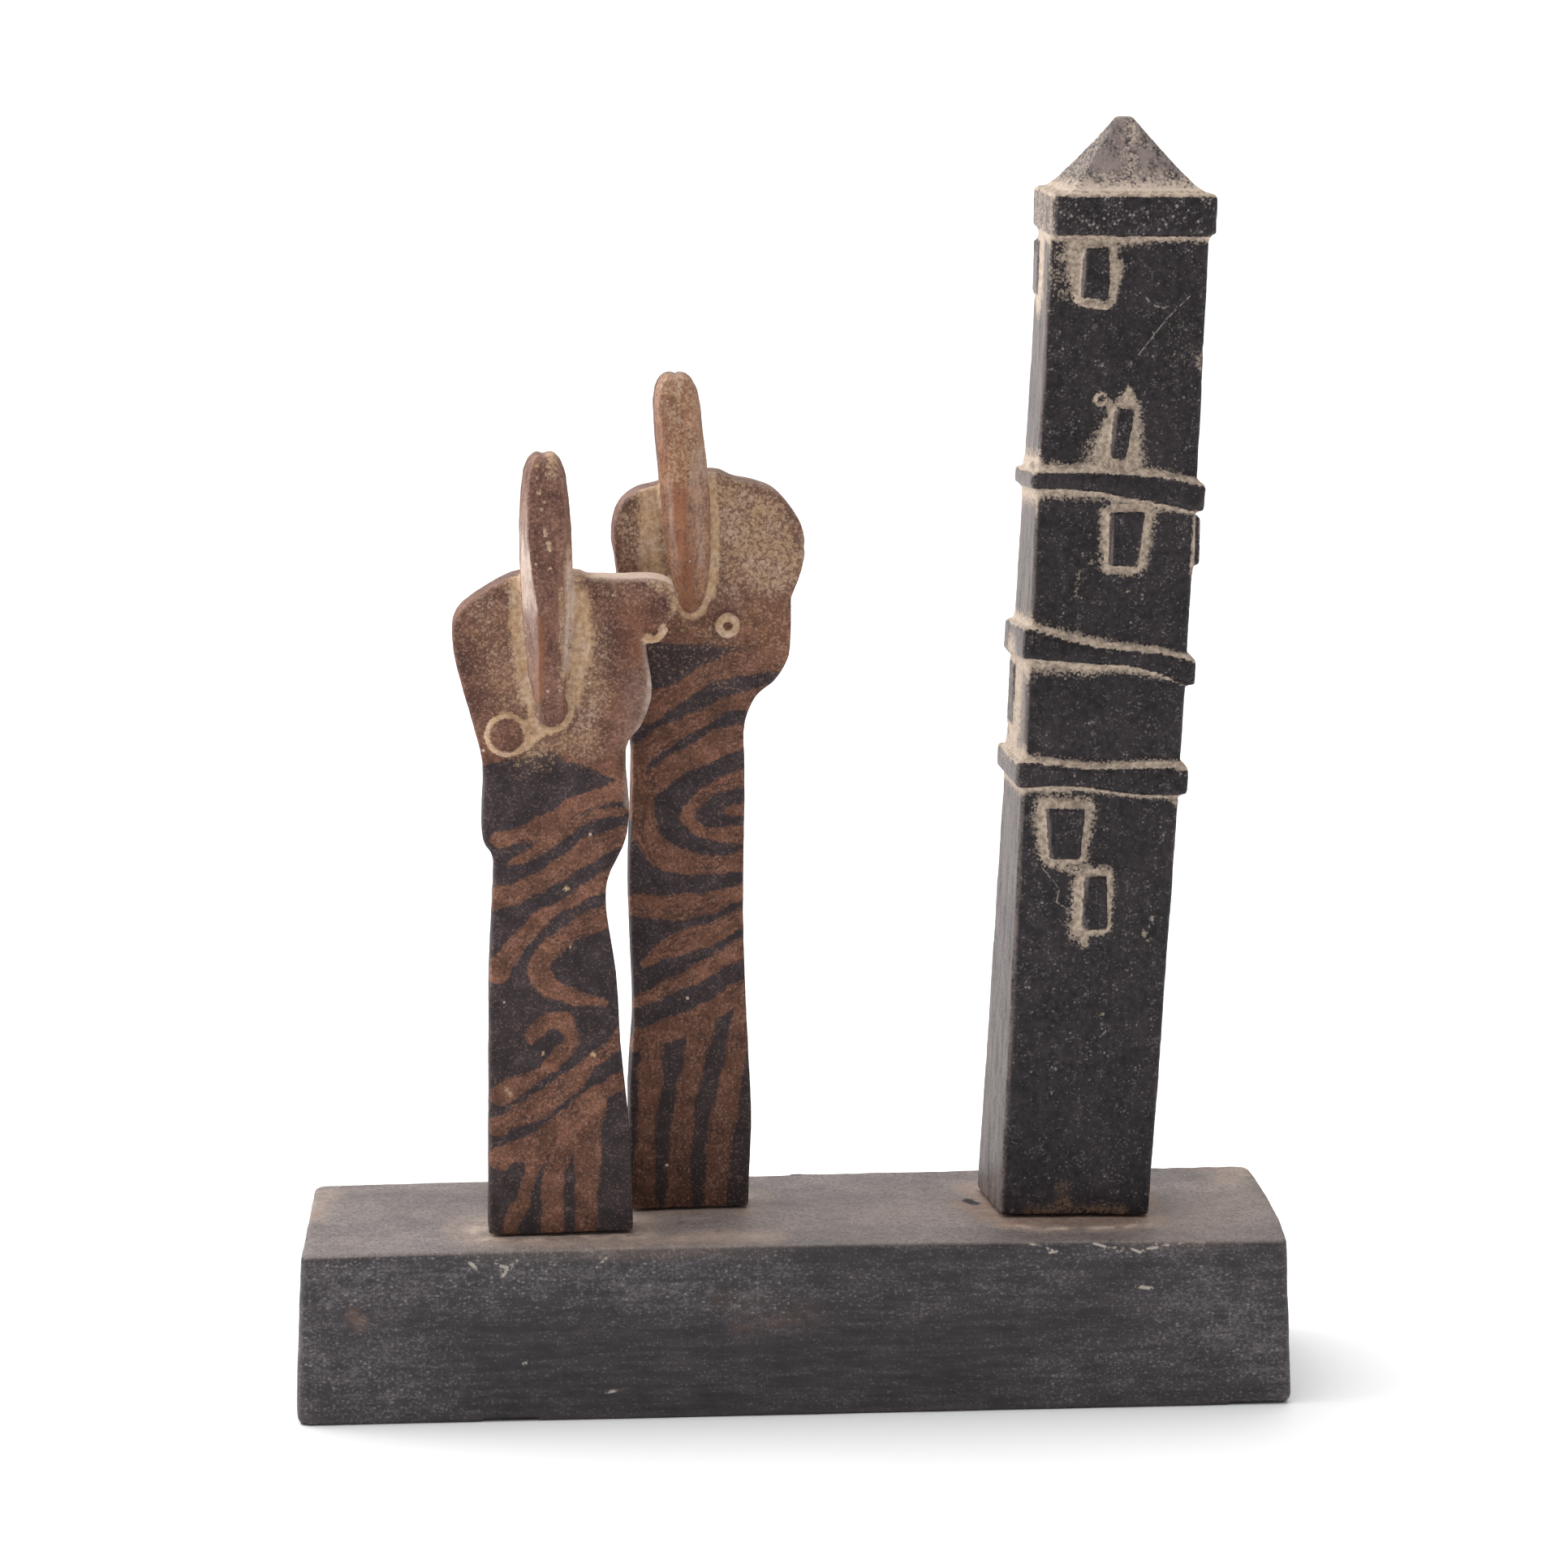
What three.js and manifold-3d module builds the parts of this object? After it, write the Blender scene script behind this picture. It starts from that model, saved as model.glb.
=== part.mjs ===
// Stoneware sculpture in four fired pieces: a long dark block, two marbled slab figures
// standing one behind the other, and a leaning black tower with applied bands, raised
// window slabs, a cap block and a pyramid roof.
// Millimetres, +Z up. The front faces -Y. The origin is the middle of the block's underside.

import * as THREE from 'three';
import { mergeVertices } from 'three/addons/utils/BufferGeometryUtils.js';
import Module from 'manifold-3d';

const wasm = await Module();
wasm.setup();

// Height of the block's top where the figures and the tower stand, and the gap left under them.
// Heights called "up" below are measured from this top.
const FOOT = 43.0;
const FOOT_GAP = 0.3;

// The block: its worn edges, the height of each top corner, and the rise between the corners
const BLOCK = {
  length: 241,
  depth: 60,
  bottomRound: 1.6,
  topRound: 1.3,
  cornerRound: 2.0,
  edgeStep: 24,
  topHeight: { frontLeft: 42.6, frontRight: 42.0, backRight: 42.8, backLeft: 41.8 },
  crown: { front: 1.3, back: 0.5 },
  // How far each top corner stands in from the one below it: along the length, then along the depth
  topInset: { frontLeft: [1.2, 0.4], frontRight: [2.7, 0.4], backRight: [0.9, 0.2], backLeft: [4.2, 0.4] },
};

// Slab figures. An outline is drawn across from the figure's centre line and up from its foot.
// A fin station gives the height, both sides, both edges of the ridge and how far it stands out.
const FRONT_FIGURE = {
  centre: -57.0,
  front: -18.6,
  thickness: 10.7,
  edgeRound: 0.9,
  footLeft: -17.1,
  leftSide: [
    [-16.9, 40], [-16.8, 62], [-15.8, 87], [-16.2, 93], [-18, 96], [-18.5, 100], [-18.1, 113.5],
    [-20.7, 125], [-23.9, 137], [-25.2, 145.5], [-23.5, 151.5], [-15.7, 157], [-9, 159.7], [3.2, 159.9],
    [6.5, 158.9], [13.3, 158.5], [21.5, 158.6], [26, 157], [27.4, 152.6], [24.8, 148.4], [19.8, 144.8],
  ],
  rightSide: [
    [19.9, 141.8], [21.2, 132.1], [18.8, 124.1], [15.2, 118.6], [15.9, 105], [15.1, 96.2],
    [11.2, 87.6], [10.9, 79], [13.2, 63.3], [14.3, 45.4], [16.3, 27], [17.3, 8.5],
  ],
  footRight: 17.4,
  fin: {
    behind: 8.0,
    topOfSlab: 160,
    stations: [
      { up: 126.2, sides: [-3.2, -1.6], ridge: [-2.8, -2.0], out: 1.0 },
      { up: 127.8, sides: [-5.0, 0.2], ridge: [-3.8, -1.0], out: 3.6 },
      { up: 131.1, sides: [-6.5, 0.6], ridge: [-5.4, 0.0], out: 5.4 },
      { up: 136.6, sides: [-7.5, 1.2], ridge: [-5.6, 0.2], out: 6.6 },
      { up: 144.1, sides: [-8.3, 1.4], ridge: [-5.4, -3.3], out: 7.6 },
      { up: 153.6, sides: [-9.1, 1.9], ridge: [-5.8, -2.8], out: 8.0 },
      { up: 162.4, sides: [-9.5, 2.4], ridge: [-7.2, -0.8], out: 8.0 },
      { up: 171.0, sides: [-9.6, 2.1], ridge: [-8.2, 0.6], out: 7.8 },
      { up: 178.5, sides: [-9.2, 1.6], ridge: [-8.0, 0.6], out: 7.4 },
      { up: 184.0, sides: [-8.7, 0.9], ridge: [-7.6, 0.0], out: 6.8 },
      { up: 186.8, sides: [-7.7, -0.3], ridge: [-6.8, -1.2], out: 5.4 },
      { up: 188.4, sides: [-6.2, -1.8], ridge: [-5.4, -2.6], out: 3.2 },
    ],
  },
  pellet: { across: -12.6, up: 122.2, radius: 4.1, out: 1.2, hole: 0 },
};

const BACK_FIGURE = {
  centre: -25.0,
  front: -0.3,
  thickness: 10.7,
  edgeRound: 0.9,
  footLeft: -14.5,
  leftSide: [
    [-14.4, 31], [-13.5, 48], [-14.4, 72], [-14.7, 85], [-14.1, 111], [-16.2, 133], [-17.8, 156.5],
    [-19, 164.8], [-17.7, 172.1], [-13.8, 176], [-8.2, 177.7], [4.2, 180.9], [9.6, 179.1],
    [14.4, 178.1], [19.7, 175.9], [24.9, 169.6], [26.5, 163.5], [25.9, 157.8], [23.4, 150.8],
  ],
  rightSide: [
    [23.3, 138.8], [22, 134.6], [19.4, 130.7], [15, 126.8], [12.5, 119.5], [12.8, 107.1],
    [12.8, 72], [14.2, 40], [15.2, 22.3],
  ],
  footRight: 14.5,
  fin: {
    behind: 8.0,
    topOfSlab: 179,
    stations: [
      { up: 147.5, sides: [-1.5, 0.1], ridge: [-1.0, -0.4], out: 0.8 },
      { up: 149.0, sides: [-2.8, 1.3], ridge: [-1.8, 0.2], out: 2.8 },
      { up: 153.5, sides: [-4.4, 3.1], ridge: [-2.6, -1.6], out: 4.8 },
      { up: 161.1, sides: [-6.1, 3.8], ridge: [-2.6, -1.8], out: 6.0 },
      { up: 175.1, sides: [-7.8, 3.5], ridge: [-2.7, -1.9], out: 6.4 },
      { up: 184.1, sides: [-8.5, 2.7], ridge: [-4.4, -1.4], out: 6.5 },
      { up: 190.0, sides: [-9.1, 1.9], ridge: [-7.6, 0.6], out: 6.5 },
      { up: 197.3, sides: [-9.6, 1.1], ridge: [-8.6, 0.1], out: 6.2 },
      { up: 201.0, sides: [-9.2, 0.4], ridge: [-8.2, -0.6], out: 5.6 },
      { up: 203.2, sides: [-8.2, -0.8], ridge: [-7.4, -1.8], out: 4.4 },
      { up: 204.4, sides: [-6.9, -2.4], ridge: [-6.1, -3.2], out: 2.6 },
    ],
  },
  pellet: { across: 8.2, up: 144.5, radius: 2.8, out: 1.0, hole: 0.9 },
};

// How a fin is rooted in its slab and shaped in plan: the share of its depth where the side
// facets begin and end, the share of its width that the back corners lose, and how far the
// back draws in at the rounded top
const FIN = { sunk: 3, facet: 0.55, heel: 0.3, backCorner: 0.2, topDraw: 3.5, topStations: 3 };
const PELLET = { sunk: 1.5, edge: 0.4, sides: 24 };

// The tower's shaft: its plan corners at the foot and under the cap, as [across, depth]
const SHAFT = {
  height: 240,
  cornerRound: 1.1,
  rightBulge: 1.0,
  footCorners: {
    frontLeft: [50.4, -9.8],
    frontRight: [86.8, -10.9],
    backRight: [86.3, 12.6],
    backLeft: [47.7, 13.3],
  },
  topCorners: {
    frontLeft: [56.7, -10.3],
    frontRight: [94.3, -10.5],
    backRight: [93.9, 10.2],
    backLeft: [57.2, 10.2],
  },
};

// Wrapped bands. Heights of the upper and lower edge run across the front from left to right,
// then come the heights at the back right and back left corners.
const BAND_OUT = 1.7;
const BAND_EDGE = 0.5;
const BANDS = [
  {
    upper: [112.7, 112.2, 111.3, 111.3, 111.6, 111.5], lower: [106.9, 107.3, 107.0, 105.7, 104.9, 105.0],
    backRight: [111.6, 105.4], backLeft: [112.7, 107.0],
  },
  {
    upper: [145.2, 142.7, 141.0, 140.0, 139.4, 137.6], lower: [138.2, 137.6, 136.8, 136.6, 134.8, 131.4],
    backRight: [139.0, 132.5], backLeft: [143.5, 135.8],
  },
  {
    upper: [182.4, 182.5, 182.3, 181.9, 181.2, 179.4], lower: [178.8, 178.6, 178.0, 176.2, 175.0, 173.1],
    backRight: [180.6, 173.8], backLeft: [180.7, 176.6],
  },
];

// Raised window slabs. A front one lists its corners as [across, up], clockwise from top left.
const WINDOW_OUT = 1.6;
const WINDOW_ROOT = 2.5;
const FRONT_WINDOWS = [
  [[65.1, 234.6], [70.1, 234.8], [70.5, 223.1], [64.4, 223.9]],
  [[73.3, 197.6], [77.3, 197.4], [75.4, 185.7], [72.3, 186.3]],
  [[72.8, 172.4], [80.3, 172.7], [79.2, 160.3], [73.0, 160.5]],
  [[59.3, 101.3], [68.0, 101.2], [67.2, 89.5], [60.4, 89.6]],
  [[69.1, 84.4], [73.7, 84.5], [74.2, 72.2], [68.5, 71.9]],
];
const SIDE_WINDOWS = [
  { side: 'left', out: 0.9, depth: [1.5, 8.5], up: [223.0, 235.0] },
  { side: 'left', out: 0.9, depth: [2.0, 10.0], up: [119.4, 134.0] },
  { side: 'right', out: 2.0, depth: [-8.8, -0.8], up: [159.8, 171.4] },
];

// The cap block and the roof
const CAP = {
  bottom: 237.9,
  top: 247.2,
  edgeRound: 0.6,
  corners: {
    frontLeft: [56.9, -12.4],
    frontRight: [95.6, -12.4],
    backRight: [95.0, 13.0],
    backLeft: [56.0, 12.8],
  },
};
const ROOF = {
  top: 264.5,
  peak: [75.2, 0.6],
  peakHalf: [2.1, 1.6],
  corners: {
    frontLeft: [60.8, -10.4],
    frontRight: [94.0, -10.6],
    backRight: [93.4, 11.4],
    backLeft: [57.4, 11.5],
  },
  // Each ring's height above the cap, and how far it has spread from the peak to the roof's corners
  rings: [
    [-1.2, 0.99], [0.0, 0.97], [0.7, 0.9], [2.2, 0.8],
    [6.4, 0.55], [11.2, 0.29], [14.8, 0.1], [16.2, 0.03],
  ],
};

const COLOURS = {
  base: 0x4a464a,
  front_figure: 0x73503f,
  back_figure: 0x6f4d3e,
  tower: 0x34313a,
};

// A closed mesh with shared corners, ready to be joined or cut
function solidOf(geometry) {
  const bare = geometry.clone();
  bare.deleteAttribute('normal');
  bare.deleteAttribute('uv');
  const merged = mergeVertices(bare, 1e-4);
  const vertProperties = Float32Array.from(merged.attributes.position.array);
  const triVerts = Uint32Array.from(merged.index.array);
  return new wasm.Manifold(new wasm.Mesh({ numProp: 3, vertProperties, triVerts }));
}

function geometryOf(solid) {
  const mesh = solid.getMesh();
  const geometry = new THREE.BufferGeometry();
  geometry.setAttribute('position', new THREE.BufferAttribute(mesh.vertProperties, 3));
  geometry.setIndex(new THREE.BufferAttribute(mesh.triVerts, 1));
  geometry.computeVertexNormals();
  return geometry;
}

// A solid through a stack of rings from the lowest to the highest. Each ring has the same
// number of points and runs counter-clockwise as seen from above.
function loft(rings) {
  const count = rings[0].length;
  const positions = rings.flat().flatMap((point) => [point.x, point.y, point.z]);
  const index = [];
  for (let level = 0; level < rings.length - 1; level += 1) {
    for (let k = 0; k < count; k += 1) {
      const next = (k + 1) % count;
      const low = level * count;
      const high = low + count;
      index.push(low + k, low + next, high + next);
      index.push(low + k, high + next, high + k);
    }
  }
  const capOf = (ring) => THREE.ShapeUtils.triangulateShape(ring.map((p) => new THREE.Vector2(p.x, p.y)), []);
  const topStart = (rings.length - 1) * count;
  for (const [a, b, c] of capOf(rings[0])) index.push(a, c, b);
  for (const corner of capOf(rings[rings.length - 1]).flat()) index.push(topStart + corner);
  const geometry = new THREE.BufferGeometry();
  geometry.setAttribute('position', new THREE.Float32BufferAttribute(positions, 3));
  geometry.setIndex(index);
  return geometry;
}

const { lerp } = THREE.MathUtils;
const mix2 = (a, b, t) => [lerp(a[0], b[0], t), lerp(a[1], b[1], t)];

// A four-cornered plan, counter-clockwise from the front left, with rounded corners.
// inset shrinks it on every side. Returns [across, depth] points.
function roundedPlan(corners, radius, steps, inset = 0) {
  const ordered = [corners.frontLeft, corners.frontRight, corners.backRight, corners.backLeft];
  const inward = [[1, 1], [-1, 1], [-1, -1], [1, -1]];
  const startAngle = [Math.PI, 1.5 * Math.PI, 0, 0.5 * Math.PI];
  return ordered.flatMap(([x, y], k) => {
    const centreX = x + inward[k][0] * (radius + inset);
    const centreY = y + inward[k][1] * (radius + inset);
    return Array.from({ length: steps + 1 }, (_, step) => {
      const angle = startAngle[k] + (step / steps) * 0.5 * Math.PI;
      return [centreX + radius * Math.cos(angle), centreY + radius * Math.sin(angle)];
    });
  });
}

// The same plan with points added along its long straight stretches
function subdivided(plan, longest) {
  return plan.flatMap((from, k) => {
    const to = plan[(k + 1) % plan.length];
    const pieces = Math.ceil(Math.hypot(to[0] - from[0], to[1] - from[1]) / longest);
    return Array.from({ length: pieces }, (_, step) => mix2(from, to, step / pieces));
  });
}

// The block's top, a little crowned along its length
function blockTop(x, y) {
  const { topHeight, crown } = BLOCK;
  const along = x / BLOCK.length + 0.5;
  const back = y / BLOCK.depth + 0.5;
  const rise = Math.sin(Math.PI * THREE.MathUtils.clamp(along, 0, 1));
  const frontZ = lerp(topHeight.frontLeft, topHeight.frontRight, along) + crown.front * rise;
  const backZ = lerp(topHeight.backLeft, topHeight.backRight, along) + crown.back * rise;
  return lerp(frontZ, backZ, back);
}

// The block, lifted by the foot gap when it is used to trim the pieces standing on it
function block(lift = 0) {
  const halfLength = BLOCK.length / 2;
  const halfDepth = BLOCK.depth / 2;
  const bottomCorners = {
    frontLeft: [-halfLength, -halfDepth],
    frontRight: [halfLength, -halfDepth],
    backRight: [halfLength, halfDepth],
    backLeft: [-halfLength, halfDepth],
  };
  const topCorners = {};
  for (const [name, [x, y]] of Object.entries(bottomCorners)) {
    const [alongLength, alongDepth] = BLOCK.topInset[name];
    topCorners[name] = [x - Math.sign(x) * alongLength, y - Math.sign(y) * alongDepth];
  }
  const plan = (corners, inset) => {
    const outline = roundedPlan(corners, BLOCK.cornerRound, 3, inset);
    return subdivided(outline, BLOCK.edgeStep);
  };
  const roundStep = 1 - Math.SQRT1_2;
  const insetAt = (share) => 1 - Math.sqrt(1 - (1 - share) ** 2);
  const bottomRings = [0, roundStep, 1].map((share) => {
    const ring = plan(bottomCorners, BLOCK.bottomRound * insetAt(share));
    return ring.map(([x, y]) => new THREE.Vector3(x, y, BLOCK.bottomRound * share));
  });
  const topRings = [1, roundStep, 0].map((share) => {
    const ring = plan(topCorners, BLOCK.topRound * insetAt(share));
    return ring.map(([x, y]) => new THREE.Vector3(x, y, blockTop(x, y) + lift - BLOCK.topRound * share));
  });
  return solidOf(loft([...bottomRings, ...topRings]));
}

// Standing pieces are drawn this far into the block, then trimmed to it
const SINK = 3;
const trimmer = block(FOOT_GAP);

// A flat slab with worn edges, drawn across and up, standing with its front at the given depth
function figureSlab(figure) {
  const shape = new THREE.Shape();
  const at = ([across, up]) => new THREE.Vector2(across, up);
  shape.moveTo(figure.footLeft, -SINK);
  shape.splineThru(figure.leftSide.map(at));
  shape.splineThru([...figure.rightSide.map(at), new THREE.Vector2(figure.footRight, -SINK)]);
  const geometry = new THREE.ExtrudeGeometry(shape, {
    depth: figure.thickness - 2 * figure.edgeRound,
    steps: 1,
    curveSegments: 3,
    bevelEnabled: true,
    bevelThickness: figure.edgeRound,
    bevelSize: figure.edgeRound,
    bevelOffset: -figure.edgeRound,
    bevelSegments: 2,
  });
  geometry.rotateX(Math.PI / 2);
  geometry.translate(figure.centre, figure.front + figure.thickness - figure.edgeRound, FOOT);
  return solidOf(geometry);
}

// The upright crest that runs down the face as a nose: half sunk in the slab below its top
// edge, a free bar standing up above it
function figureFin(figure) {
  const { stations, behind, topOfSlab } = figure.fin;
  const rings = stations.map((station, k) => {
    const free = station.up > topOfSlab;
    const fromTop = stations.length - 1 - k;
    const topRound = Math.max(0, 1 - fromTop / FIN.topStations);
    const back = figure.front + (free ? behind - FIN.topDraw * topRound : FIN.sunk);
    const front = figure.front - station.out;
    const [left, right] = station.sides;
    const [ridgeLeft, ridgeRight] = station.ridge;
    const facet = lerp(front, figure.front, FIN.facet);
    const heel = lerp(back, figure.front, FIN.heel);
    const backLeft = lerp(left, right, FIN.backCorner);
    const backRight = lerp(right, left, FIN.backCorner);
    const plan = [
      [left, facet], [ridgeLeft, front], [ridgeRight, front], [right, facet],
      [right, heel], [backRight, back], [backLeft, back], [left, heel],
    ];
    return plan.map(([across, y]) => new THREE.Vector3(figure.centre + across, y, FOOT + station.up));
  });
  return solidOf(loft(rings));
}

// A round pellet pressed on the face, with a poked hole where it has one
function figurePellet(figure) {
  const { across, up, radius, out, hole } = figure.pellet;
  const { sunk, edge, sides } = PELLET;
  const profile = [[0, -sunk], [radius, -sunk], [radius, out - edge], [radius - edge, out], [hole, out]];
  if (hole > 0) profile.push([0, out - 2 * edge]);
  const geometry = new THREE.LatheGeometry(profile.map(([r, h]) => new THREE.Vector2(r, h)), sides);
  // Turns the lathe's axis from up to forward
  geometry.rotateX(Math.PI);
  geometry.translate(figure.centre + across, figure.front, FOOT + up);
  return solidOf(geometry);
}

function figureSolid(figure) {
  return figureSlab(figure).add(figureFin(figure)).add(figurePellet(figure)).subtract(trimmer);
}

// The shaft's four corners at a height
function shaftCorners(up) {
  const t = up / SHAFT.height;
  const corners = {};
  for (const name of Object.keys(SHAFT.footCorners)) {
    corners[name] = mix2(SHAFT.footCorners[name], SHAFT.topCorners[name], t);
  }
  const bulge = SHAFT.rightBulge * Math.sin(Math.PI * THREE.MathUtils.clamp(t, 0, 1));
  corners.frontRight[0] += bulge;
  corners.backRight[0] += bulge;
  return corners;
}

// A level ring round a four-cornered plan
function planRing(corners, inset, up) {
  const plan = roundedPlan(corners, SHAFT.cornerRound, 2, inset);
  return plan.map(([x, y]) => new THREE.Vector3(x, y, FOOT + up));
}

function shaft() {
  const storeys = 6;
  const heights = Array.from({ length: storeys + 1 }, (_, k) => lerp(-SINK, SHAFT.height, k / storeys));
  return solidOf(loft(heights.map((up) => planRing(shaftCorners(up), 0, up))));
}

// Points round a band at one of its edges: evenly across the front, then round the back
function bandRing(frontHeights, backRight, backLeft, inset, lift) {
  const { frontLeft, frontRight, backRight: farRight, backLeft: farLeft } = shaftCorners(frontHeights[2]);
  const out = BAND_OUT - inset;
  const base = FOOT + lift;
  const last = frontHeights.length - 1;
  const from = [frontLeft[0] - out, frontLeft[1] - out];
  const to = [frontRight[0] + out, frontRight[1] - out];
  const ring = frontHeights.map((up, k) => {
    const [x, y] = mix2(from, to, k / last);
    return new THREE.Vector3(x, y, base + up);
  });
  ring.push(new THREE.Vector3(farRight[0] + out, farRight[1] + out, base + backRight));
  ring.push(new THREE.Vector3(farLeft[0] - out, farLeft[1] + out, base + backLeft));
  return ring;
}

function band({ upper, lower, backRight, backLeft }) {
  const inside = BAND_OUT + 4;
  const rings = [
    bandRing(lower, backRight[1], backLeft[1], inside, 0),
    bandRing(lower, backRight[1], backLeft[1], BAND_EDGE, 0),
    bandRing(lower, backRight[1], backLeft[1], 0, BAND_EDGE),
    bandRing(upper, backRight[0], backLeft[0], 0, -BAND_EDGE),
    bandRing(upper, backRight[0], backLeft[0], BAND_EDGE, 0),
    bandRing(upper, backRight[0], backLeft[0], inside, 0),
  ];
  return solidOf(loft(rings));
}

// A slab whose outline lies across and up, standing from one depth to another
function plate(outline, fromDepth, toDepth) {
  const shape = new THREE.Shape(outline.map(([across, up]) => new THREE.Vector2(across, up)));
  const geometry = new THREE.ExtrudeGeometry(shape, { depth: toDepth - fromDepth, bevelEnabled: false });
  geometry.rotateX(Math.PI / 2);
  geometry.translate(0, toDepth, FOOT);
  return geometry;
}

function frontWindow(corners) {
  const wall = shaftCorners((corners[0][1] + corners[2][1]) / 2);
  const face = (wall.frontLeft[1] + wall.frontRight[1]) / 2;
  return solidOf(plate(corners, face - WINDOW_OUT, face + WINDOW_ROOT));
}

function sideWindow({ side, out, depth, up }) {
  const wall = shaftCorners((up[0] + up[1]) / 2);
  const onLeft = side === 'left';
  const near = onLeft ? wall.frontLeft[0] : wall.frontRight[0];
  const far = onLeft ? wall.backLeft[0] : wall.backRight[0];
  const outward = onLeft ? -1 : 1;
  const face = (near + far) / 2;
  const width = out + WINDOW_ROOT;
  const geometry = new THREE.BoxGeometry(width, depth[1] - depth[0], up[1] - up[0]);
  const middle = face + outward * (out - width / 2);
  geometry.translate(middle, (depth[0] + depth[1]) / 2, FOOT + (up[0] + up[1]) / 2);
  return solidOf(geometry);
}

function capBlock() {
  const { bottom, top, edgeRound, corners } = CAP;
  return solidOf(loft([
    planRing(corners, edgeRound, bottom),
    planRing(corners, 0, bottom + edgeRound),
    planRing(corners, 0, top - edgeRound),
    planRing(corners, edgeRound, top),
  ]));
}

// A ring of the roof, spread from its small flat peak towards its corners
function roofRing(spread, up) {
  const { peak, peakHalf, corners } = ROOF;
  const signs = { frontLeft: [-1, -1], frontRight: [1, -1], backRight: [1, 1], backLeft: [-1, 1] };
  return Object.entries(signs).map(([name, [signX, signY]]) => {
    const top = [peak[0] + signX * peakHalf[0], peak[1] + signY * peakHalf[1]];
    const [x, y] = mix2(top, corners[name], spread);
    return new THREE.Vector3(x, y, FOOT + up);
  });
}

function roof() {
  const slopes = ROOF.rings.map(([above, spread]) => roofRing(spread, CAP.top + above));
  return solidOf(loft([...slopes, roofRing(-0.02, ROOF.top)]));
}

function towerSolid() {
  let tower = shaft().add(capBlock()).add(roof());
  for (const one of BANDS) tower = tower.add(band(one));
  for (const one of FRONT_WINDOWS) tower = tower.add(frontWindow(one));
  for (const one of SIDE_WINDOWS) tower = tower.add(sideWindow(one));
  return tower.subtract(trimmer);
}

const sculpture = new THREE.Group();
const solids = {
  base: block(),
  front_figure: figureSolid(FRONT_FIGURE),
  back_figure: figureSolid(BACK_FIGURE),
  tower: towerSolid(),
};
for (const [name, solid] of Object.entries(solids)) {
  const material = new THREE.MeshStandardMaterial({ color: COLOURS[name], roughness: 0.85, metalness: 0 });
  const mesh = new THREE.Mesh(geometryOf(solid), material);
  mesh.name = name;
  sculpture.add(mesh);
}

export default sculpture;
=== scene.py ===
"""Stoneware sculpture: two marbled slab figures and a leaning black tower on a long dark block.

The four solids of the frame give every piece its place and form. Each piece here is modelled over
its solid with the slip, gouges and waviness of hand-built clay, then finished with its own clay.
"""

import math
from functools import reduce

import bpy
import numpy as np
from mathutils import Matrix, Vector


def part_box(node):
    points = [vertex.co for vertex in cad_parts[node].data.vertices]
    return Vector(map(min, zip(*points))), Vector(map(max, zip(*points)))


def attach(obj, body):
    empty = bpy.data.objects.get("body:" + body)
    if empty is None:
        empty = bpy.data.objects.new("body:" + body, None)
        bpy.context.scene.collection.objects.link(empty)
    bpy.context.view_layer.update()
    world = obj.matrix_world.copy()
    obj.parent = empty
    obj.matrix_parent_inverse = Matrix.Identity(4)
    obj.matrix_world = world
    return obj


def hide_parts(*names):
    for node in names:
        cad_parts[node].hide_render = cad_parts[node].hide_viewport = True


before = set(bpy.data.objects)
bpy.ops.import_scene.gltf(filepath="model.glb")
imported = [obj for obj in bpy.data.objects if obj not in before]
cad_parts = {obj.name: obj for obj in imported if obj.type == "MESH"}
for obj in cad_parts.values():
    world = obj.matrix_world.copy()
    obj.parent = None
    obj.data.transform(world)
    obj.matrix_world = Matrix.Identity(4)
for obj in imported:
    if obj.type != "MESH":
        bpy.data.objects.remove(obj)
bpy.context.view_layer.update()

MM = 0.001

# Heights called "up" are measured from the block's top, where the figures and the tower stand
FOOT = 43.0

GRAIN = {"base": 0.95, "front_figure": 0.5, "back_figure": 0.5, "tower": 0.62}

# How far softening and waviness draw an outline in, and how far solid slip stands proud
LOST = 0.35
SLIP_RELIEF = 0.2


# Modelling tools


def deselect_all():
    bpy.ops.object.select_all(action="DESELECT")


def activate(piece):
    deselect_all()
    piece.select_set(True)
    bpy.context.view_layer.objects.active = piece


def apply_modifier(piece, name, kind, **settings):
    modifier = piece.modifiers.new(name, kind)
    for key, value in settings.items():
        setattr(modifier, key, value)
    activate(piece)
    bpy.ops.object.modifier_apply(modifier=modifier.name)


def copy_of_solid(node, name):
    """The node's solid as a mesh of its own, its loose triangles merged"""
    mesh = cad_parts[node].data.copy()
    mesh.materials.clear()
    piece = bpy.data.objects.new(name, mesh)
    bpy.context.scene.collection.objects.link(piece)
    activate(piece)
    bpy.ops.object.mode_set(mode="EDIT")
    bpy.ops.mesh.select_all(action="SELECT")
    bpy.ops.mesh.remove_doubles(threshold=0.001 * MM)
    bpy.ops.object.mode_set(mode="OBJECT")
    return piece


def settle(piece):
    """Puts a primitive's place, turn and size into its mesh"""
    activate(piece)
    bpy.ops.object.transform_apply(location=True, rotation=True, scale=True)
    return piece


def lump(at, sizes):
    """A pressed lump of clay, or the hollow that one leaves"""
    deselect_all()
    place = [c * MM for c in at]
    bpy.ops.mesh.primitive_ico_sphere_add(subdivisions=3, radius=1, location=place)
    piece = bpy.context.active_object
    piece.scale = [s * MM for s in sizes]
    return settle(piece)


def ring(at, radius, thickness):
    """A ring of slip that lies on a face looking forward"""
    deselect_all()
    bpy.ops.mesh.primitive_torus_add(
        location=[c * MM for c in at],
        rotation=(math.pi / 2, 0, 0),
        major_radius=radius * MM,
        minor_radius=thickness * MM,
        major_segments=32,
        minor_segments=10,
    )
    return settle(bpy.context.active_object)


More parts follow.
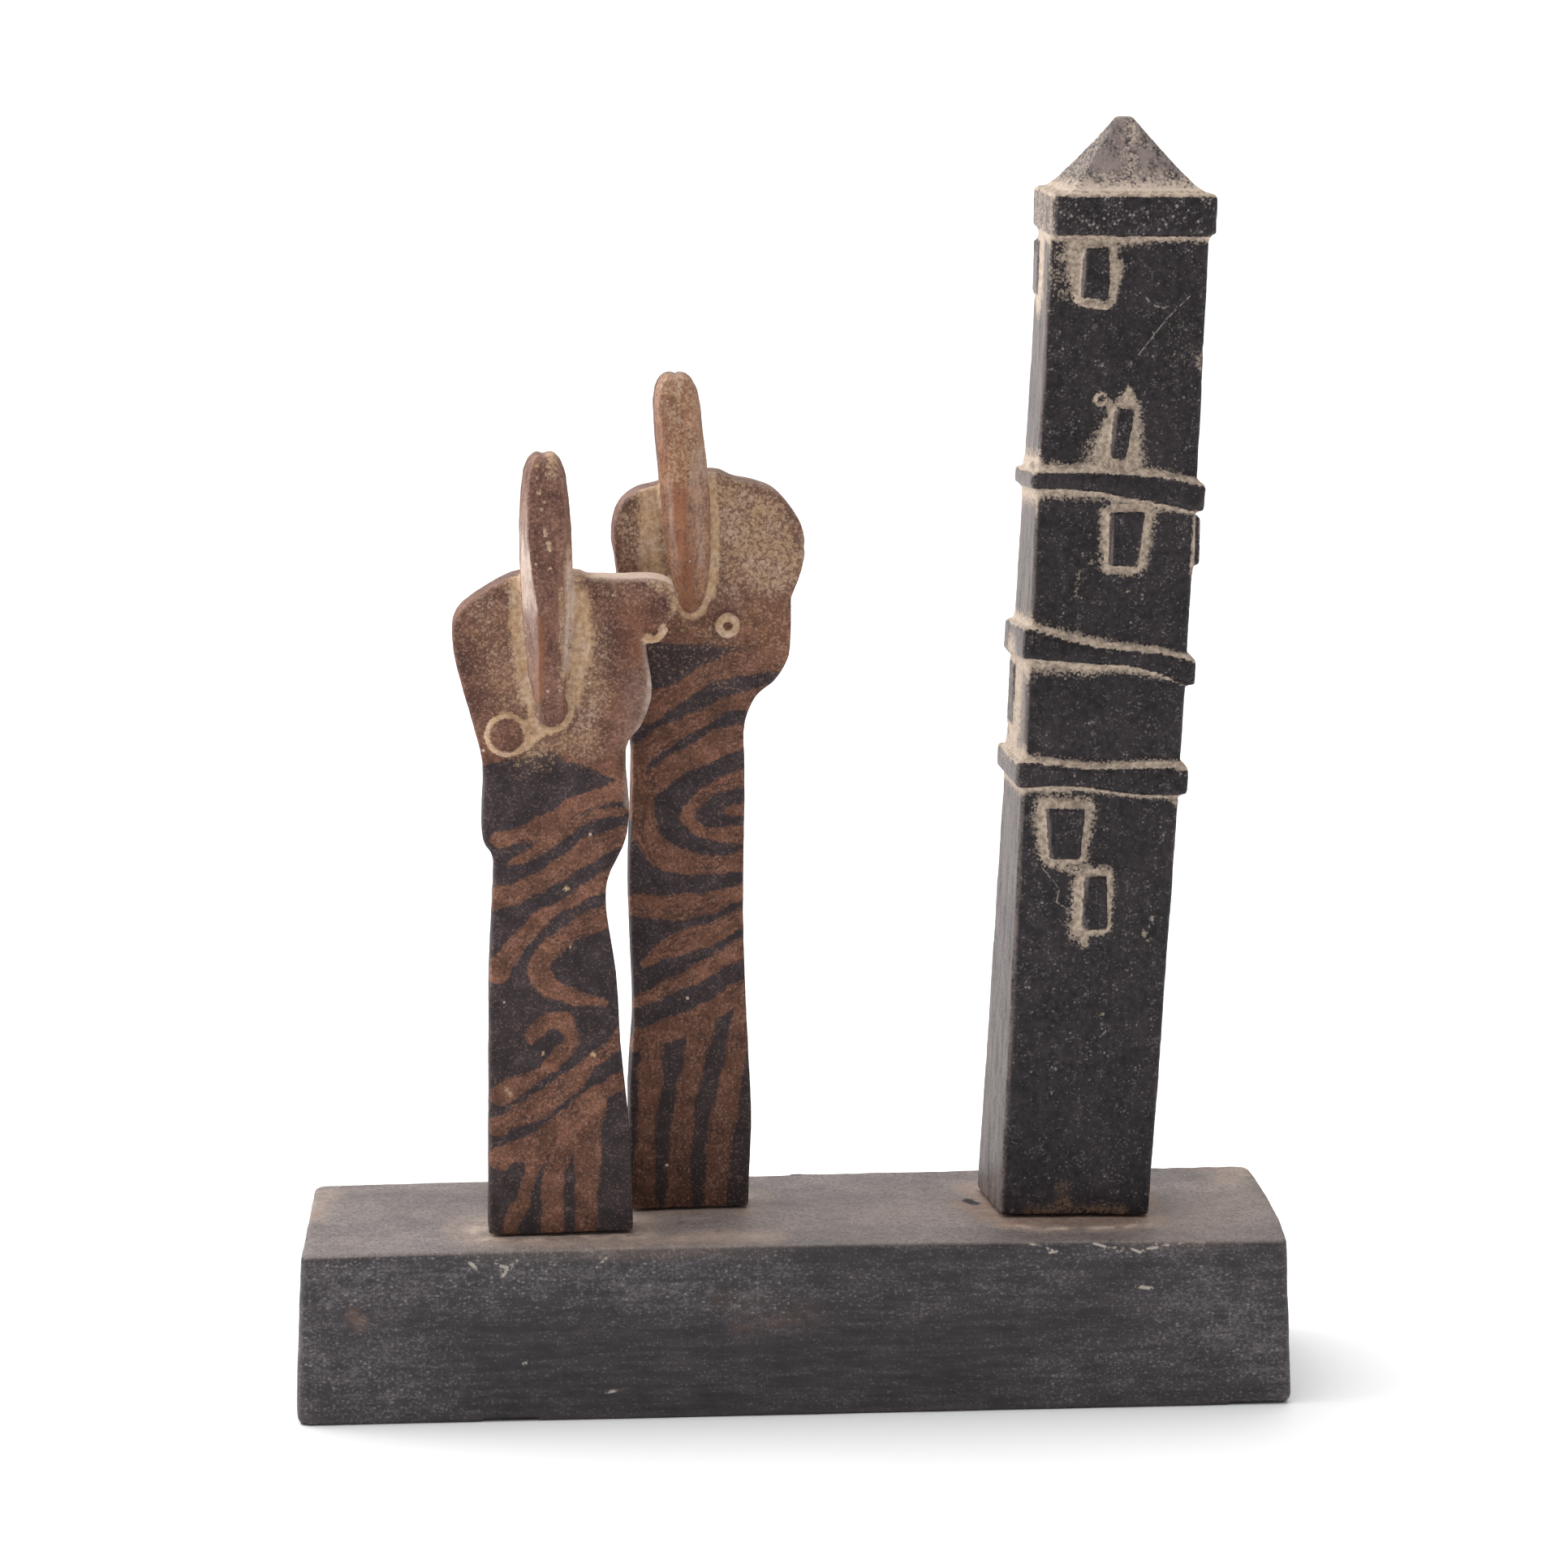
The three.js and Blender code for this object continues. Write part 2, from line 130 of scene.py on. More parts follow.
def bead(points, radius):
    """A soft roll of slip laid along a line"""
    curve = bpy.data.curves.new("bead", "CURVE")
    curve.dimensions = "3D"
    curve.bevel_depth = radius * MM
    curve.bevel_resolution = 3
    curve.use_fill_caps = True
    spline = curve.splines.new("POLY")
    spline.points.add(len(points) - 1)
    for place, point in zip(spline.points, points):
        place.co = (*[c * MM for c in point], 1)
    piece = bpy.data.objects.new("bead", curve)
    bpy.context.scene.collection.objects.link(piece)
    activate(piece)
    bpy.ops.object.convert(target="MESH")
    return bpy.context.active_object


def carve(piece, cutters):
    for cutter in cutters:
        apply_modifier(piece, "carve", "BOOLEAN", operation="DIFFERENCE", object=cutter, solver="EXACT")
        bpy.data.objects.remove(cutter)


def press_on(piece, additions):
    """Joins additions to a piece; the remesh that follows makes them one skin"""
    activate(piece)
    for addition in additions:
        addition.select_set(True)
    bpy.context.view_layer.objects.active = piece
    bpy.ops.object.join()


def waviness(piece, name, size, depth):
    """Hand-made unevenness of one size. It only takes clay away, so the piece stays in its bounds."""
    texture = bpy.data.textures.new(name, "CLOUDS")
    texture.noise_scale = size * MM
    texture.noise_depth = 2
    apply_modifier(
        piece, name, "DISPLACE", texture=texture, texture_coords="LOCAL",
        strength=depth * MM, mid_level=1.0,
    )


def work_clay(node, name, cutters, additions, waves):
    """A solid worked over by hand: carved, pressed on, made one fine skin and left uneven"""
    piece = copy_of_solid(node, name)
    carve(piece, cutters)
    if additions:
        press_on(piece, additions)
    grain = GRAIN[node] * 1
    apply_modifier(piece, "skin", "REMESH", mode="VOXEL", voxel_size=grain * MM)
    apply_modifier(piece, "soften", "SMOOTH", factor=0.5, iterations=2)
    for label, size, depth in waves:
        waviness(piece, label, size, depth)
    return piece


# Reading and moving a mesh's points, in millimetres


def ramp(value, start, end):
    """0 up to start, 1 from end on and straight between; end may be the lower one"""
    return np.clip((value - start) / (end - start), 0, 1)


def read_points(piece):
    flat = np.empty(len(piece.data.vertices) * 3, np.float32)
    piece.data.vertices.foreach_get("co", flat)
    return flat.reshape(-1, 3).astype(float) / MM


def read_normals(piece):
    flat = np.empty(len(piece.data.vertices) * 3, np.float32)
    piece.data.vertex_normals.foreach_get("vector", flat)
    return flat.reshape(-1, 3).astype(float)


def write_points(piece, points, node):
    """Moves a piece's points, kept inside the bounds of its solid"""
    low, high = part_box(node)
    kept = np.clip(points * MM, low, high)
    piece.data.vertices.foreach_set("co", kept.astype(np.float32).ravel())
    piece.data.update()


def write_fields(piece, **fields):
    """Gives each point of a piece one number for every named field, for its paint to read"""
    for name, field in fields.items():
        attribute = piece.data.attributes.new(name, "FLOAT", "POINT")
        attribute.data.foreach_set("value", field.astype(np.float32))


def finish_skin(piece, node, points, normals, slip):
    """Stands solid slip a little proud, and gives the outline back what softening took off it"""
    risen = points + normals * (SLIP_RELIEF * ramp(slip, 0.75, 1.0))[:, None]
    write_points(piece, risen + normals * (LOST, 0, LOST), node)


def rims(piece, points, normals, passes=24):
    """How far each point stands proud of the smoothed form around it: positive on an edge,
    negative in a hollow"""
    ends = np.empty(len(piece.data.edges) * 2, np.int32)
    piece.data.edges.foreach_get("vertices", ends)
    ends = ends.reshape(-1, 2)
    start = np.concatenate([ends[:, 0], ends[:, 1]])
    finish = np.concatenate([ends[:, 1], ends[:, 0]])
    count = np.bincount(start, minlength=len(points))[:, None]
    smooth = points
    for _ in range(passes):
        sums = [np.bincount(start, smooth[finish, axis], minlength=len(points)) for axis in range(3)]
        smooth = np.stack(sums, 1) / count
    return ((points - smooth) * normals).sum(1)


# Painting fields on a piece. A stroke is a line of [across, up] points with its solid half width,
# the half width where it has faded out, and its strength.


def segment_gap(points, start, end):
    start, end = np.asarray(start, float), np.asarray(end, float)
    line = end - start
    share = np.clip((points - start) @ line / max(line @ line, 1e-9), 0, 1)
    return np.linalg.norm(points - start - share[:, None] * line, axis=1)


def line_gap(points, line):
    if len(line) == 1:
        return np.linalg.norm(points - np.asarray(line[0], float), axis=1)
    return np.min([segment_gap(points, a, b) for a, b in zip(line, line[1:])], axis=0)


def brushed(points, strokes):
    field = np.zeros(len(points))
    for line, solid, faded, strength in strokes:
        field = np.maximum(field, strength * ramp(line_gap(points, line), faded, solid))
    return field


def specks(*rows):
    """Strokes of one point each: across, up, solid and faded half width, and strength"""
    return [([[across, up]], *stroke) for across, up, *stroke in rows]


def circle(centre, radius, steps=16):
    turns = [2 * math.pi * k / steps for k in range(steps + 1)]
    return [[centre[0] + radius * math.cos(t), centre[1] + radius * math.sin(t)] for t in turns]


def soft_line(line, steps=4):
    """A soft curve through the points of a line"""
    points = np.asarray([line[0], *line, line[-1]], float)
    curve = []
    for k in range(1, len(points) - 2):
        before, here, there, after = points[k - 1:k + 3]
        square = 2 * before - 5 * here + 4 * there - after
        cube = 3 * here - before - 3 * there + after
        for t in np.arange(steps) / steps:
            curve.append(0.5 * (2 * here + (there - before + square * t + cube * t * t) * t))
    return np.asarray([*curve, points[-1]])


def ribbon_depth(points, ribbons, bare=-3.0):
    """How deep each point lies inside folded ribbons of clay, in millimetres, negative outside.
    A ribbon is a line and its half widths from start to end."""
    depth = np.full(len(points), bare)
    for line, half_widths in ribbons:
        curve = soft_line(line)
        shares = np.linspace(0, 1, len(half_widths))
        widths = np.interp(np.linspace(0, 1, len(curve) - 1), shares, half_widths)
        for start, end, width in zip(curve, curve[1:], widths):
            depth = np.maximum(depth, width - segment_gap(points, start, end))
    return depth


# The block


BLOCK_HALF_DEPTH = 30.0

# The top edge of the block's right end bows out in the middle, from here on and by so much
BOW_FROM, BOW_FULL, BOW = 108, 118, 1.3

# Where the figures and the tower meet the block's top
FRONT_FOOT = [[-75, -8], [-75, -19.2], [-39, -19.2], [-39, -8], [-75, -8]]
BACK_FOOT = [[-40, -0.6], [-10, -0.6], [-10, 10.8], [-40, 10.8], [-40, -0.6]]
TOWER_FOOT = [[50, -10.4], [87.2, -11.4], [86.8, 13.2], [47.4, 13.8], [50, -10.4]]


def block_chips():
    """The pit by the tower, the cracks in the back and left edges and the chips in the front one"""
    chips = [lump((45.0, 3.2, FOOT + 0.3), (1.7, 1.2, 1.2))]
    for x, length in ((98, 2.4), (105, 3.2), (111, 1.6)):
        chips.append(lump((x, BLOCK_HALF_DEPTH - 0.1, FOOT + 0.4), (length, 1.8, 1.2)))
    chips.append(lump((-116.2, 5.0, FOOT), (1.9, 0.6, 0.7)))
    for x, above in ((-64, -0.1), (-41, 0.3), (86, -0.3)):
        chips.append(lump((x, -BLOCK_HALF_DEPTH, FOOT + above), (1.6, 0.7, 0.7)))
    return chips


def make_base():
    piece = work_clay(
        "base", "dark_block",
        cutters=block_chips(),
        additions=[],
        waves=[("long swell", 42, 0.5), ("short swell", 11, 0.3), ("scraped clay", 3.2, 0.14)],
    )
    points, normals = read_points(piece), read_normals(piece)
    x, y, z = points.T
    bow = BOW * ramp(x, BOW_FROM, BOW_FULL)
    points[:, 0] += bow * (z / FOOT) * (1 - (y / BLOCK_HALF_DEPTH) ** 2)
    # Softening rounds the lower edge, so what faces down there is laid flat again
    low_edge = z < 0.8
    points[low_edge, 2] = np.where(normals[low_edge, 2] < -0.7, 0, z[low_edge])

    plan = points[:, :2]
    dust = brushed(plan, [
        (FRONT_FOOT, 2.5, 12, 0.95), ([[-75, -22], [-40, -24], [-8, -22]], 2.0, 8, 0.8),
        (BACK_FOOT, 1.0, 9, 0.7), (TOWER_FOOT, 1.0, 7, 0.78),
        ([[112, 18], [116, 26]], 2, 9, 0.7), ([[-117, 3], [-113, 22]], 1.5, 7, 0.6),
        ([[92, -20], [112, 4]], 3, 20, 0.36), ([[0, -10], [40, 0]], 4, 22, 0.2),
        ([[51, -15], [60, -18.0], [72, -18.6], [86, -16.4]], 0.4, 4.6, 1.15),
    ])
    rust = brushed(plan, [
        (TOWER_FOOT, 1.0, 6.5, 0.9), ([[43, 2], [48, -9]], 1.2, 6, 1.0),
        ([[60, -13.4], [80, -13.8]], 1, 4, 0.9), ([[104, 29], [113, 29]], 1.2, 4, 0.9),
        ([[-117, 5], [-114.5, 5]], 0.8, 2, 1.0), ([[44, 0], [47, -10], [54, -15]], 1, 5, 0.9),
    ])
    # Painted shade: near-black in the pit by the tower and in the cracks along the back edge
    pits = brushed(plan, [
        ([[44.2, 4.2], [45.8, 1.8]], 0.8, 1.9, 1.0), ([[104, 29.6], [110, 29.4]], 0.3, 1.2, 0.6),
    ])
    front = np.stack([x, z], 1)
    scuffs = brushed(front, [
        ([[-112, 36], [-60, 37], [-6, 33]], 3, 13, 0.95), ([[-118, 20], [-96, 8]], 2, 24, 0.9),
        ([[98, 26], [119, 14]], 3, 26, 0.95), ([[62, 9], [96, 13]], 2, 14, 0.6),
        ([[10, 32], [64, 34]], 1, 12, 0.5), ([[66, 39], [92, 39.5]], 0.6, 3.4, 1.0),
        ([[64.5, 9], [66, 4]], 0.6, 3.0, 1.0),
    ])
    stains = brushed(front, [
        ([[-106.6, 27.6], [-104.6, 25.2]], 0.5, 2.4, 0.75), ([[-14, 24], [2, 25]], 1, 5, 0.3),
        ([[-20, 30], [-8, 28]], 1, 4, 0.2),
    ])
    on_top = ramp(z, FOOT - 4, FOOT - 2)
    write_fields(
        piece,
        slip=dust * on_top,
        rust=np.maximum(rust * on_top, np.where(y < -24, stains, 0)),
        pit=pits * on_top,
        # Faces looking up, which the paint makes paler: partly dust, partly a painted sheen
        top=ramp(normals[:, 2], 0.45, 0.7),
        scuffed=np.where(y < -20, scuffs, 0.3),
        rim=rims(piece, points, normals),
    )
    write_points(piece, points, "base")
    return piece


# The figures


# How the ribbons drift across and up for each millimetre that they run into a slab
RIBBON_DRIFT = (0.3, -0.25)
SLAB_DEPTH = 12

# A figure's head is higher than this
HEAD_FROM = 100

# The brown ribbons folded into each figure's black clay, as [across, up] lines and half widths. The
# first two are the head and the crest, the last ones stand upright under the fold across the foot.
FRONT_FIGURE = {
    "centre": -57.0, "front": -18.6, "pellet": (-12.6, 122.2), "pellet_radius": 4.1,
    "top_dust_and_highlight": ([-24, -14, -4, 4, 10, 26], [0.0, 0.1, 0.35, 0.6, 1.0, 1.0]),
    "ribbons": [
        ([[-24, 142], [-14, 143.5], [-8, 148], [0, 148.5], [8, 147], [14, 140], [26, 136]], [27]),
        ([[-3, 160], [-3, 190]], [14]),
        ([[-15, 97], [-6, 99.5], [3, 105], [10, 108], [17, 109]], [1.6, 2.4, 1.8, 2.6]),
        ([[-13, 91], [-7, 93.6], [1, 99.6], [8, 102.8], [16, 104]], [0.3, 1.5, 0.9, 0.5]),
        ([[-15, 83], [-6, 86.5], [3, 92], [10, 96], [16, 98]], [3.0, 2.3, 3.1, 2.2]),
        ([[-15, 65], [-10, 72], [-3, 79.2], [5, 84], [14, 89.5]], [2.8, 2.2, 1.5, 2.4]),
        ([[15, 80.5], [7, 77], [-0.5, 72.5], [-5, 67], [-3.2, 61.8], [2.6, 58.8], [9.6, 57.4]],
         [3.0, 2.4, 3.1, 2.6, 0.8]),
        ([[-15, 35], [-8, 38.5], [-2, 43], [2.6, 48.4], [0.4, 52.8], [-4, 52.6], [-7.4, 48.2]],
         [2.9, 1.3, 2.0, 2.3, 1.0]),
        ([[-15, 27.5], [-6, 32], [2, 37.5], [8, 43.5], [15, 48.5]], [2.2, 3.2, 2.3, 1.4, 2.6]),
        ([[-15, 19.5], [-6, 23.5], [3, 30], [15, 39]], [2.6, 2.0, 2.8, 1.8]),
        ([[-12.6, -2], [-11.4, 4], [-9.4, 8], [-7.5, 15], [-4, 22]], [2.4, 2.2, 1.4, 2.0]),
        ([[-2.2, -2], [-2.4, 10], [-0.6, 19], [3, 28]], [3.0, 2.3, 3.0]),
        ([[6.2, -2], [6, 12], [6.6, 22], [8.5, 32]], [2.4, 3.2, 2.4]),
    ],
}
BACK_FIGURE = {
    "centre": -25.0, "front": -0.3, "pellet": (8.2, 144.5), "pellet_radius": 1.95,
    "top_dust_and_highlight": ([-20, 26], [0.15, 0.2]),
    "ribbons": [
        ([[-24, 170], [26, 166]], [28.2]),
        ([[-4, 180], [-4, 208]], [14]),
        ([[-16, 123], [-6, 127], [4, 133], [14, 136], [26, 138]], [3.4, 2.6, 3.0, 4.0]),
        ([[-15, 112], [-7, 117], [2, 122], [10, 126], [20, 128]], [3.0, 2.2, 1.6, 2.6]),
        ([[-15, 101], [-10, 106], [-2, 111.5], [8, 116.5], [17, 119]], [3.6, 2.8, 3.4, 2.2]),
        ([[-15, 112], [-11.5, 100], [-9.5, 91.5], [-2, 87], [8, 86.2], [16, 87.5]],
         [3.8, 2.6, 3.4, 2.4, 3.0]),
        ([[16, 108], [7, 105.8], [0.2, 101], [-0.6, 96.6], [5, 93.8], [16, 93.4]],
         [2.6, 1.6, 2.3, 1.5, 2.2]),
        ([[17, 100], [8.4, 99.4]], [2.2, 0.6]),
        ([[-15, 76.5], [-6, 76], [4, 76.5], [11, 79], [16, 80.5]], [2.2, 3.3, 2.2, 2.8]),
        ([[-11, 62], [-5, 66], [3, 69], [10, 72], [16, 75]], [0.8, 2.9, 2.2, 2.6]),
        ([[-15, 51.5], [-6, 55.5], [3, 60], [10, 64], [16, 68]], [1.4, 2.4, 1.6, 2.4]),
        ([[-15, 42], [-6, 45], [4, 49.5], [16, 57]], [2.4, 3.2, 2.2, 3.2]),
        ([[-11.2, -2], [-10.4, 20], [-9, 44]], [2.9, 2.2, 2.9]),
        ([[-2.2, -2], [-2.4, 16], [0.4, 34], [3, 48]], [3.3, 2.4, 3.2]),
        ([[6.8, -2], [7, 14], [9.6, 30], [13.2, 52]], [2.4, 3.2, 2.4]),
    ],
}


def on_face(figure, across, up, out=0.0):
    """A place on a figure's front, or so far in front of it"""
    return (figure["centre"] + across, figure["front"] - out, FOOT + up)


def figure_fields(
    piece, node, figure, slip, high_slip, bare, rust, pale, left_highlight, right_rust, right_pale
):
    """Paints a figure's front and stands its solid slip a little proud. slip lies on the slab alone,
    high_slip on the crest too, and none where it is bare. left_highlight is a painted highlight on
    the crest's left flank, and right_rust and right_pale give the colours of its right flank, each as
    heights and the strengths there."""
    points, normals = read_points(piece), read_normals(piece)
    across, up = points[:, 0] - figure["centre"], points[:, 2] - FOOT
    face = np.stack([across, up], 1)
    proud = figure["front"] - points[:, 1]
    on_front = ramp(proud, -4, -1)
    on_slab = ramp(proud, 1.6, 0.8)
    on_crest = ramp(proud, 1.2, 2.0)
    left_flank = ramp(-normals[:, 0], 0.45, 0.75) * on_crest
    right_flank = ramp(normals[:, 0], 0.25, 0.55) * on_crest
    # The head's faces looking up are painted pale, partly as slip dust and partly as a painted highlight,
    # mostly on the slab behind its front
    head_top = ramp(normals[:, 2], 0.4, 0.7) * (up > HEAD_FROM)
    top_dust_and_highlight = head_top * np.clip(0.2 - proud / 3, 0.2, 1) * np.interp(across, *figure["top_dust_and_highlight"])

    slip_field = np.maximum(brushed(face, slip) * on_slab, brushed(face, high_slip)) * on_front
    slip_field = np.maximum(slip_field * (1 - brushed(face, bare)), top_dust_and_highlight)
    rust_field = brushed(face, rust) * on_front
    rust_field = np.maximum(rust_field, right_flank * np.interp(up, *right_rust))
    pale_field = np.maximum(brushed(face, pale) * on_front, 0.8 * top_dust_and_highlight)
    # A painted highlight on the crest's left flank, where it faces the light
    pale_field = np.maximum(pale_field, left_flank * np.interp(up, *left_highlight))
    pale_field = np.maximum(pale_field, right_flank * np.interp(up, *right_pale))
    drift = np.clip(proud, -SLAB_DEPTH, 0)[:, None] * RIBBON_DRIFT
    write_fields(
        piece,
        ribbon=ribbon_depth(face + drift, figure["ribbons"]),
        slip=slip_field,
        rust=rust_field,
        pale=pale_field,
        crest=on_crest,
        rim=rims(piece, points, normals),
    )
    finish_skin(piece, node, points, normals, slip_field)


def make_front_figure():
    figure = FRONT_FIGURE
    pellet, pellet_radius = figure["pellet"], figure["pellet_radius"]
    crest_groove = lump(on_face(figure, -4.2, 189.4, -1), (1.7, 9, 1.7))
    beak_nick = lump(on_face(figure, 27.6, 150.2), (1.2, 1.6, 1.0))
    shin_nick = lump(on_face(figure, -16.9, 29.5), (0.9, 1.0, 1.3))
    pellet_ring = ring(on_face(figure, *pellet), pellet_radius + 0.5, 0.55)
    curl = [(19.8, 144.6, 0.0), (22.0, 144.7, 0.5), (23.4, 146.0, 0.5), (24.2, 147.4, 0.1)]
    notch_curl = bead([on_face(figure, *spot) for spot in curl], 0.75)
    nose_end = lump(on_face(figure, -2.4, 129.0, 2.2), (3.9, 2.7, 4.8))
    piece = work_clay(
        "front_figure", "front_figure_clay_body",
        cutters=[crest_groove, beak_nick, shin_nick],
        additions=[pellet_ring, notch_curl, nose_end],
        waves=[("slab swell", 22, 0.35), ("finger marks", 7, 0.22), ("torn grain", 1.7, 0.09)],
    )
    nose_slip = [[-7.2, 131], [-6.8, 126.8], [-5, 124], [-2.4, 123], [0.2, 124], [2, 126.8], [2.6, 131]]
    figure_fields(
        piece, "front_figure", figure,
        slip=[
            ([[-9.8, 160], [-10, 150], [-9.4, 140], [-8.0, 131]], 1.0, 4.6, 0.92),
            ([[2.6, 160], [3.6, 154]], 1.0, 4.2, 0.85),
            ([[3.6, 154], [4.8, 146], [4.4, 140]], 1.8, 4.8, 1.0),
            ([[4.4, 143], [3.6, 136], [2.6, 131]], 1.3, 4.0, 1.0),
            (nose_slip, 0.6, 1.6, 1.0),
            ([[-8.4, 123.6], [-6.2, 125.6]], 1.1, 2.2, 1.0),
            ([[-8.6, 119.4], [-6.6, 121.4], [-4.6, 122.6]], 0.9, 1.9, 1.0),
            ([[-7, 118.5], [-2, 121], [6, 120.5]], 1.0, 8, 0.52),
            ([[7, 146], [8, 132], [5, 122]], 1.0, 7.2, 0.52),
            ([[-18, 152], [-14, 138], [-12, 128]], 1.0, 10, 0.42),
            ([[6, 158], [18, 155]], 1.5, 7, 0.3),
            ([[-10, 146], [10, 130]], 12, 26, 0.1),
            ([[22, 159], [27.6, 155], [27.4, 149.4]], 1.2, 3.6, 0.72),
            ([spot[:2] for spot in curl], 0.9, 1.5, 1.0),
            ([[-13, 36.2], [-11.8, 35]], 0.3, 1.4, 0.6),
            *specks((1.3, 85.2, 0.45, 0.8, 1.0), (7.7, 44.5, 0.5, 0.9, 1.0), (-4.2, 45, 0.25, 0.6, 1.0),
                    (2.2, 71, 0.2, 0.5, 0.9), (-1.6, 72.4, 0.2, 0.5, 0.9)),
        ],
        high_slip=[
            (circle(pellet, pellet_radius + 0.4), 0.5, 0.85, 1.0),
            ([[-2.4, 189], [-2.6, 184.6]], 0.6, 2.4, 0.75),
            ([[-0.6, 158], [-0.4, 150], [-0.6, 143]], 0.25, 1.2, 0.75),
            ([[2.2, 166], [2.4, 150], [1.6, 138]], 1.5, 3.2, 0.74),
            ([[0.6, 152], [0.4, 138]], 0.5, 1.6, 0.5), ([[-0.6, 141], [-0.4, 133]], 0.2, 1.3, 0.45),
            ([[-4.2, 171.6], [-4.1, 170.4]], 0.2, 0.6, 1.0),
            ([[-3.3, 168.6], [-3.1, 167]], 0.35, 0.8, 1.0),
            *specks((-5.8, 186, 0.3, 0.7, 0.9), (-6.0, 183.4, 0.2, 0.6, 0.9), (-5.4, 180.2, 0.4, 0.8, 0.9),
                    (-4.4, 178, 0.35, 0.75, 1.0), (-4.9, 176.4, 0.25, 0.6, 0.9),
                    (-2.9, 162.8, 0.25, 0.6, 0.8)),
        ],
        bare=[([pellet], 3.4, 3.8, 1.0)],
        rust=[
            ([[1.6, 160], [2.0, 142]], 0.8, 2.0, 0.4),
            ([[-5.0, 151], [-4.8, 141], [-5.3, 131]], 0.25, 1.3, 0.85),
            ([[18, 151], [18, 143]], 2, 6, 0.45),
            ([[-17, 147], [-15, 130]], 3, 8, 0.22),
            ([[12, 134], [15, 120]], 1, 5, 0.25),
        ],
        pale=[
            # Painted highlight along the bevelled right edge under the beak
            ([[20.4, 143.5], [21.8, 134], [20.4, 126], [16.6, 119], [16.4, 106]], 0.6, 2.2, 0.6),
            ([[21.2, 143], [21.2, 134]], 0.7, 1.5, 0.9), ([[18, 133], [17, 121]], 1, 6, 0.1),
            # Painted highlight along the head's top edge
            ([[7, 160.6], [25.5, 159.4]], 0.9, 1.8, 0.9),
            ([[1.8, 163], [2.0, 150], [1.2, 139]], 0.8, 2.2, 0.62),
        ],
        left_highlight=([128, 142, 151, 155, 167, 173, 182], [0.1, 0.18, 0.3, 0.8, 0.8, 0.3, 0.05]),
        right_rust=([128, 134, 150, 165, 185], [0.1, 0.3, 0.5, 0.4, 0.2]),
        right_pale=([128, 140, 156, 185], [0.0, 0.05, 0.05, 0.1]),
    )
    return piece


def make_back_figure():
    figure = BACK_FIGURE
    pellet, pellet_radius = figure["pellet"], figure["pellet_radius"]
    crest_groove = lump(on_face(figure, -4.4, 205.4, -1), (0.8, 9, 1.8))
    cheek_chip = lump(on_face(figure, 26.9, 162.9), (1.3, 3.0, 0.9))
    pellet_ring = ring(on_face(figure, *pellet, 0.8), pellet_radius, 0.6)
    pellet_hole = lump(on_face(figure, *pellet, 1.9), (1.25, 1.4, 1.25))
    piece = work_clay(
        "back_figure", "back_figure_clay_body",
        cutters=[crest_groove, cheek_chip, pellet_hole],
        additions=[pellet_ring],
        waves=[("slab swell", 24, 0.35), ("finger marks", 8, 0.22), ("torn grain", 1.6, 0.09)],
    )
    nose_slip = [[-5.4, 156], [-3.8, 149.8], [-2, 147.4], [0, 146.8], [2, 148], [3.2, 150.6], [3.6, 153]]
    figure_fields(
        piece, "back_figure", figure,
        slip=[
            ([[-9.8, 176], [-10.2, 167], [-9.4, 157]], 2.0, 6.5, 0.95),
            ([[3.6, 180], [4.6, 171], [4.8, 160], [3.6, 152]], 1.0, 2.8, 1.0),
            (nose_slip, 0.6, 1.7, 1.0),
            ([[9, 171], [14, 168], [18, 160]], 6, 13, 0.66),
            ([[8, 178], [16, 174], [22, 164]], 2, 8, 0.5),
            ([[9, 160], [8, 153]], 1, 8, 0.5),
            ([[-16, 170], [-15, 160]], 1, 5, 0.55),
            ([[-8, 150], [8, 141]], 1.5, 8, 0.3),
            ([[14, 152], [20, 140]], 3, 12, 0.3),
            ([[-8, 138], [6, 134]], 3, 10, 0.2),
        ],
        high_slip=[
            (circle(pellet, pellet_radius + 0.05), 0.65, 0.9, 1.0),
            ([[-4.4, 203], [-4.2, 198]], 0.4, 2.0, 0.8),
            ([[-4, 202], [-3, 190], [-2, 183]], 3.4, 6.0, 0.5),
            ([[0, 180], [1.4, 165], [1.2, 154]], 0.8, 2.6, 0.36),
        ],
        bare=[([pellet], 1.15, 1.35, 1.0)],
        rust=[
            ([[-3.8, 188], [-3.6, 172], [-2.2, 157], [-1.4, 150]], 0.9, 2.0, 0.9),
            ([[-4, 194], [-5, 184]], 1, 4, 0.4),
            ([[17, 150], [20, 140]], 3, 8, 0.4),
        ],
        pale=[
            ([[26.3, 170], [26.4, 160]], 0.3, 1.2, 0.4),
            ([[-6.0, 180], [-5.4, 168], [-3.8, 158]], 0.2, 1.1, 0.26),
            ([[0.4, 181], [0.9, 170], [1.2, 160]], 0.3, 1.6, 0.24), ([[1, 186], [3, 182]], 1, 3, 0.34),
        ],
        left_highlight=([150, 186, 205], [0.0, 0.0, 0.12]),
        right_rust=([150, 178, 186, 205], [0.0, 0.0, 0.3, 0.5]),
        right_pale=([150, 156, 178, 181, 186], [0.0, 0.04, 0.1, 0.4, 0.1]),
    )
    return piece


# The tower


SHAFT_HEIGHT = 240.0
SHAFT_BULGE = 1.0
SHAFT_FRONT = -10.4
SHAFT_FOOT = {"left": 50.4, "right": 86.8, "front": SHAFT_FRONT, "back": 13.0}
SHAFT_TOP = {"left": 56.7, "right": 94.3, "front": SHAFT_FRONT, "back": 10.2}
CAP_BOTTOM, CAP_TOP = 237.9, 247.2

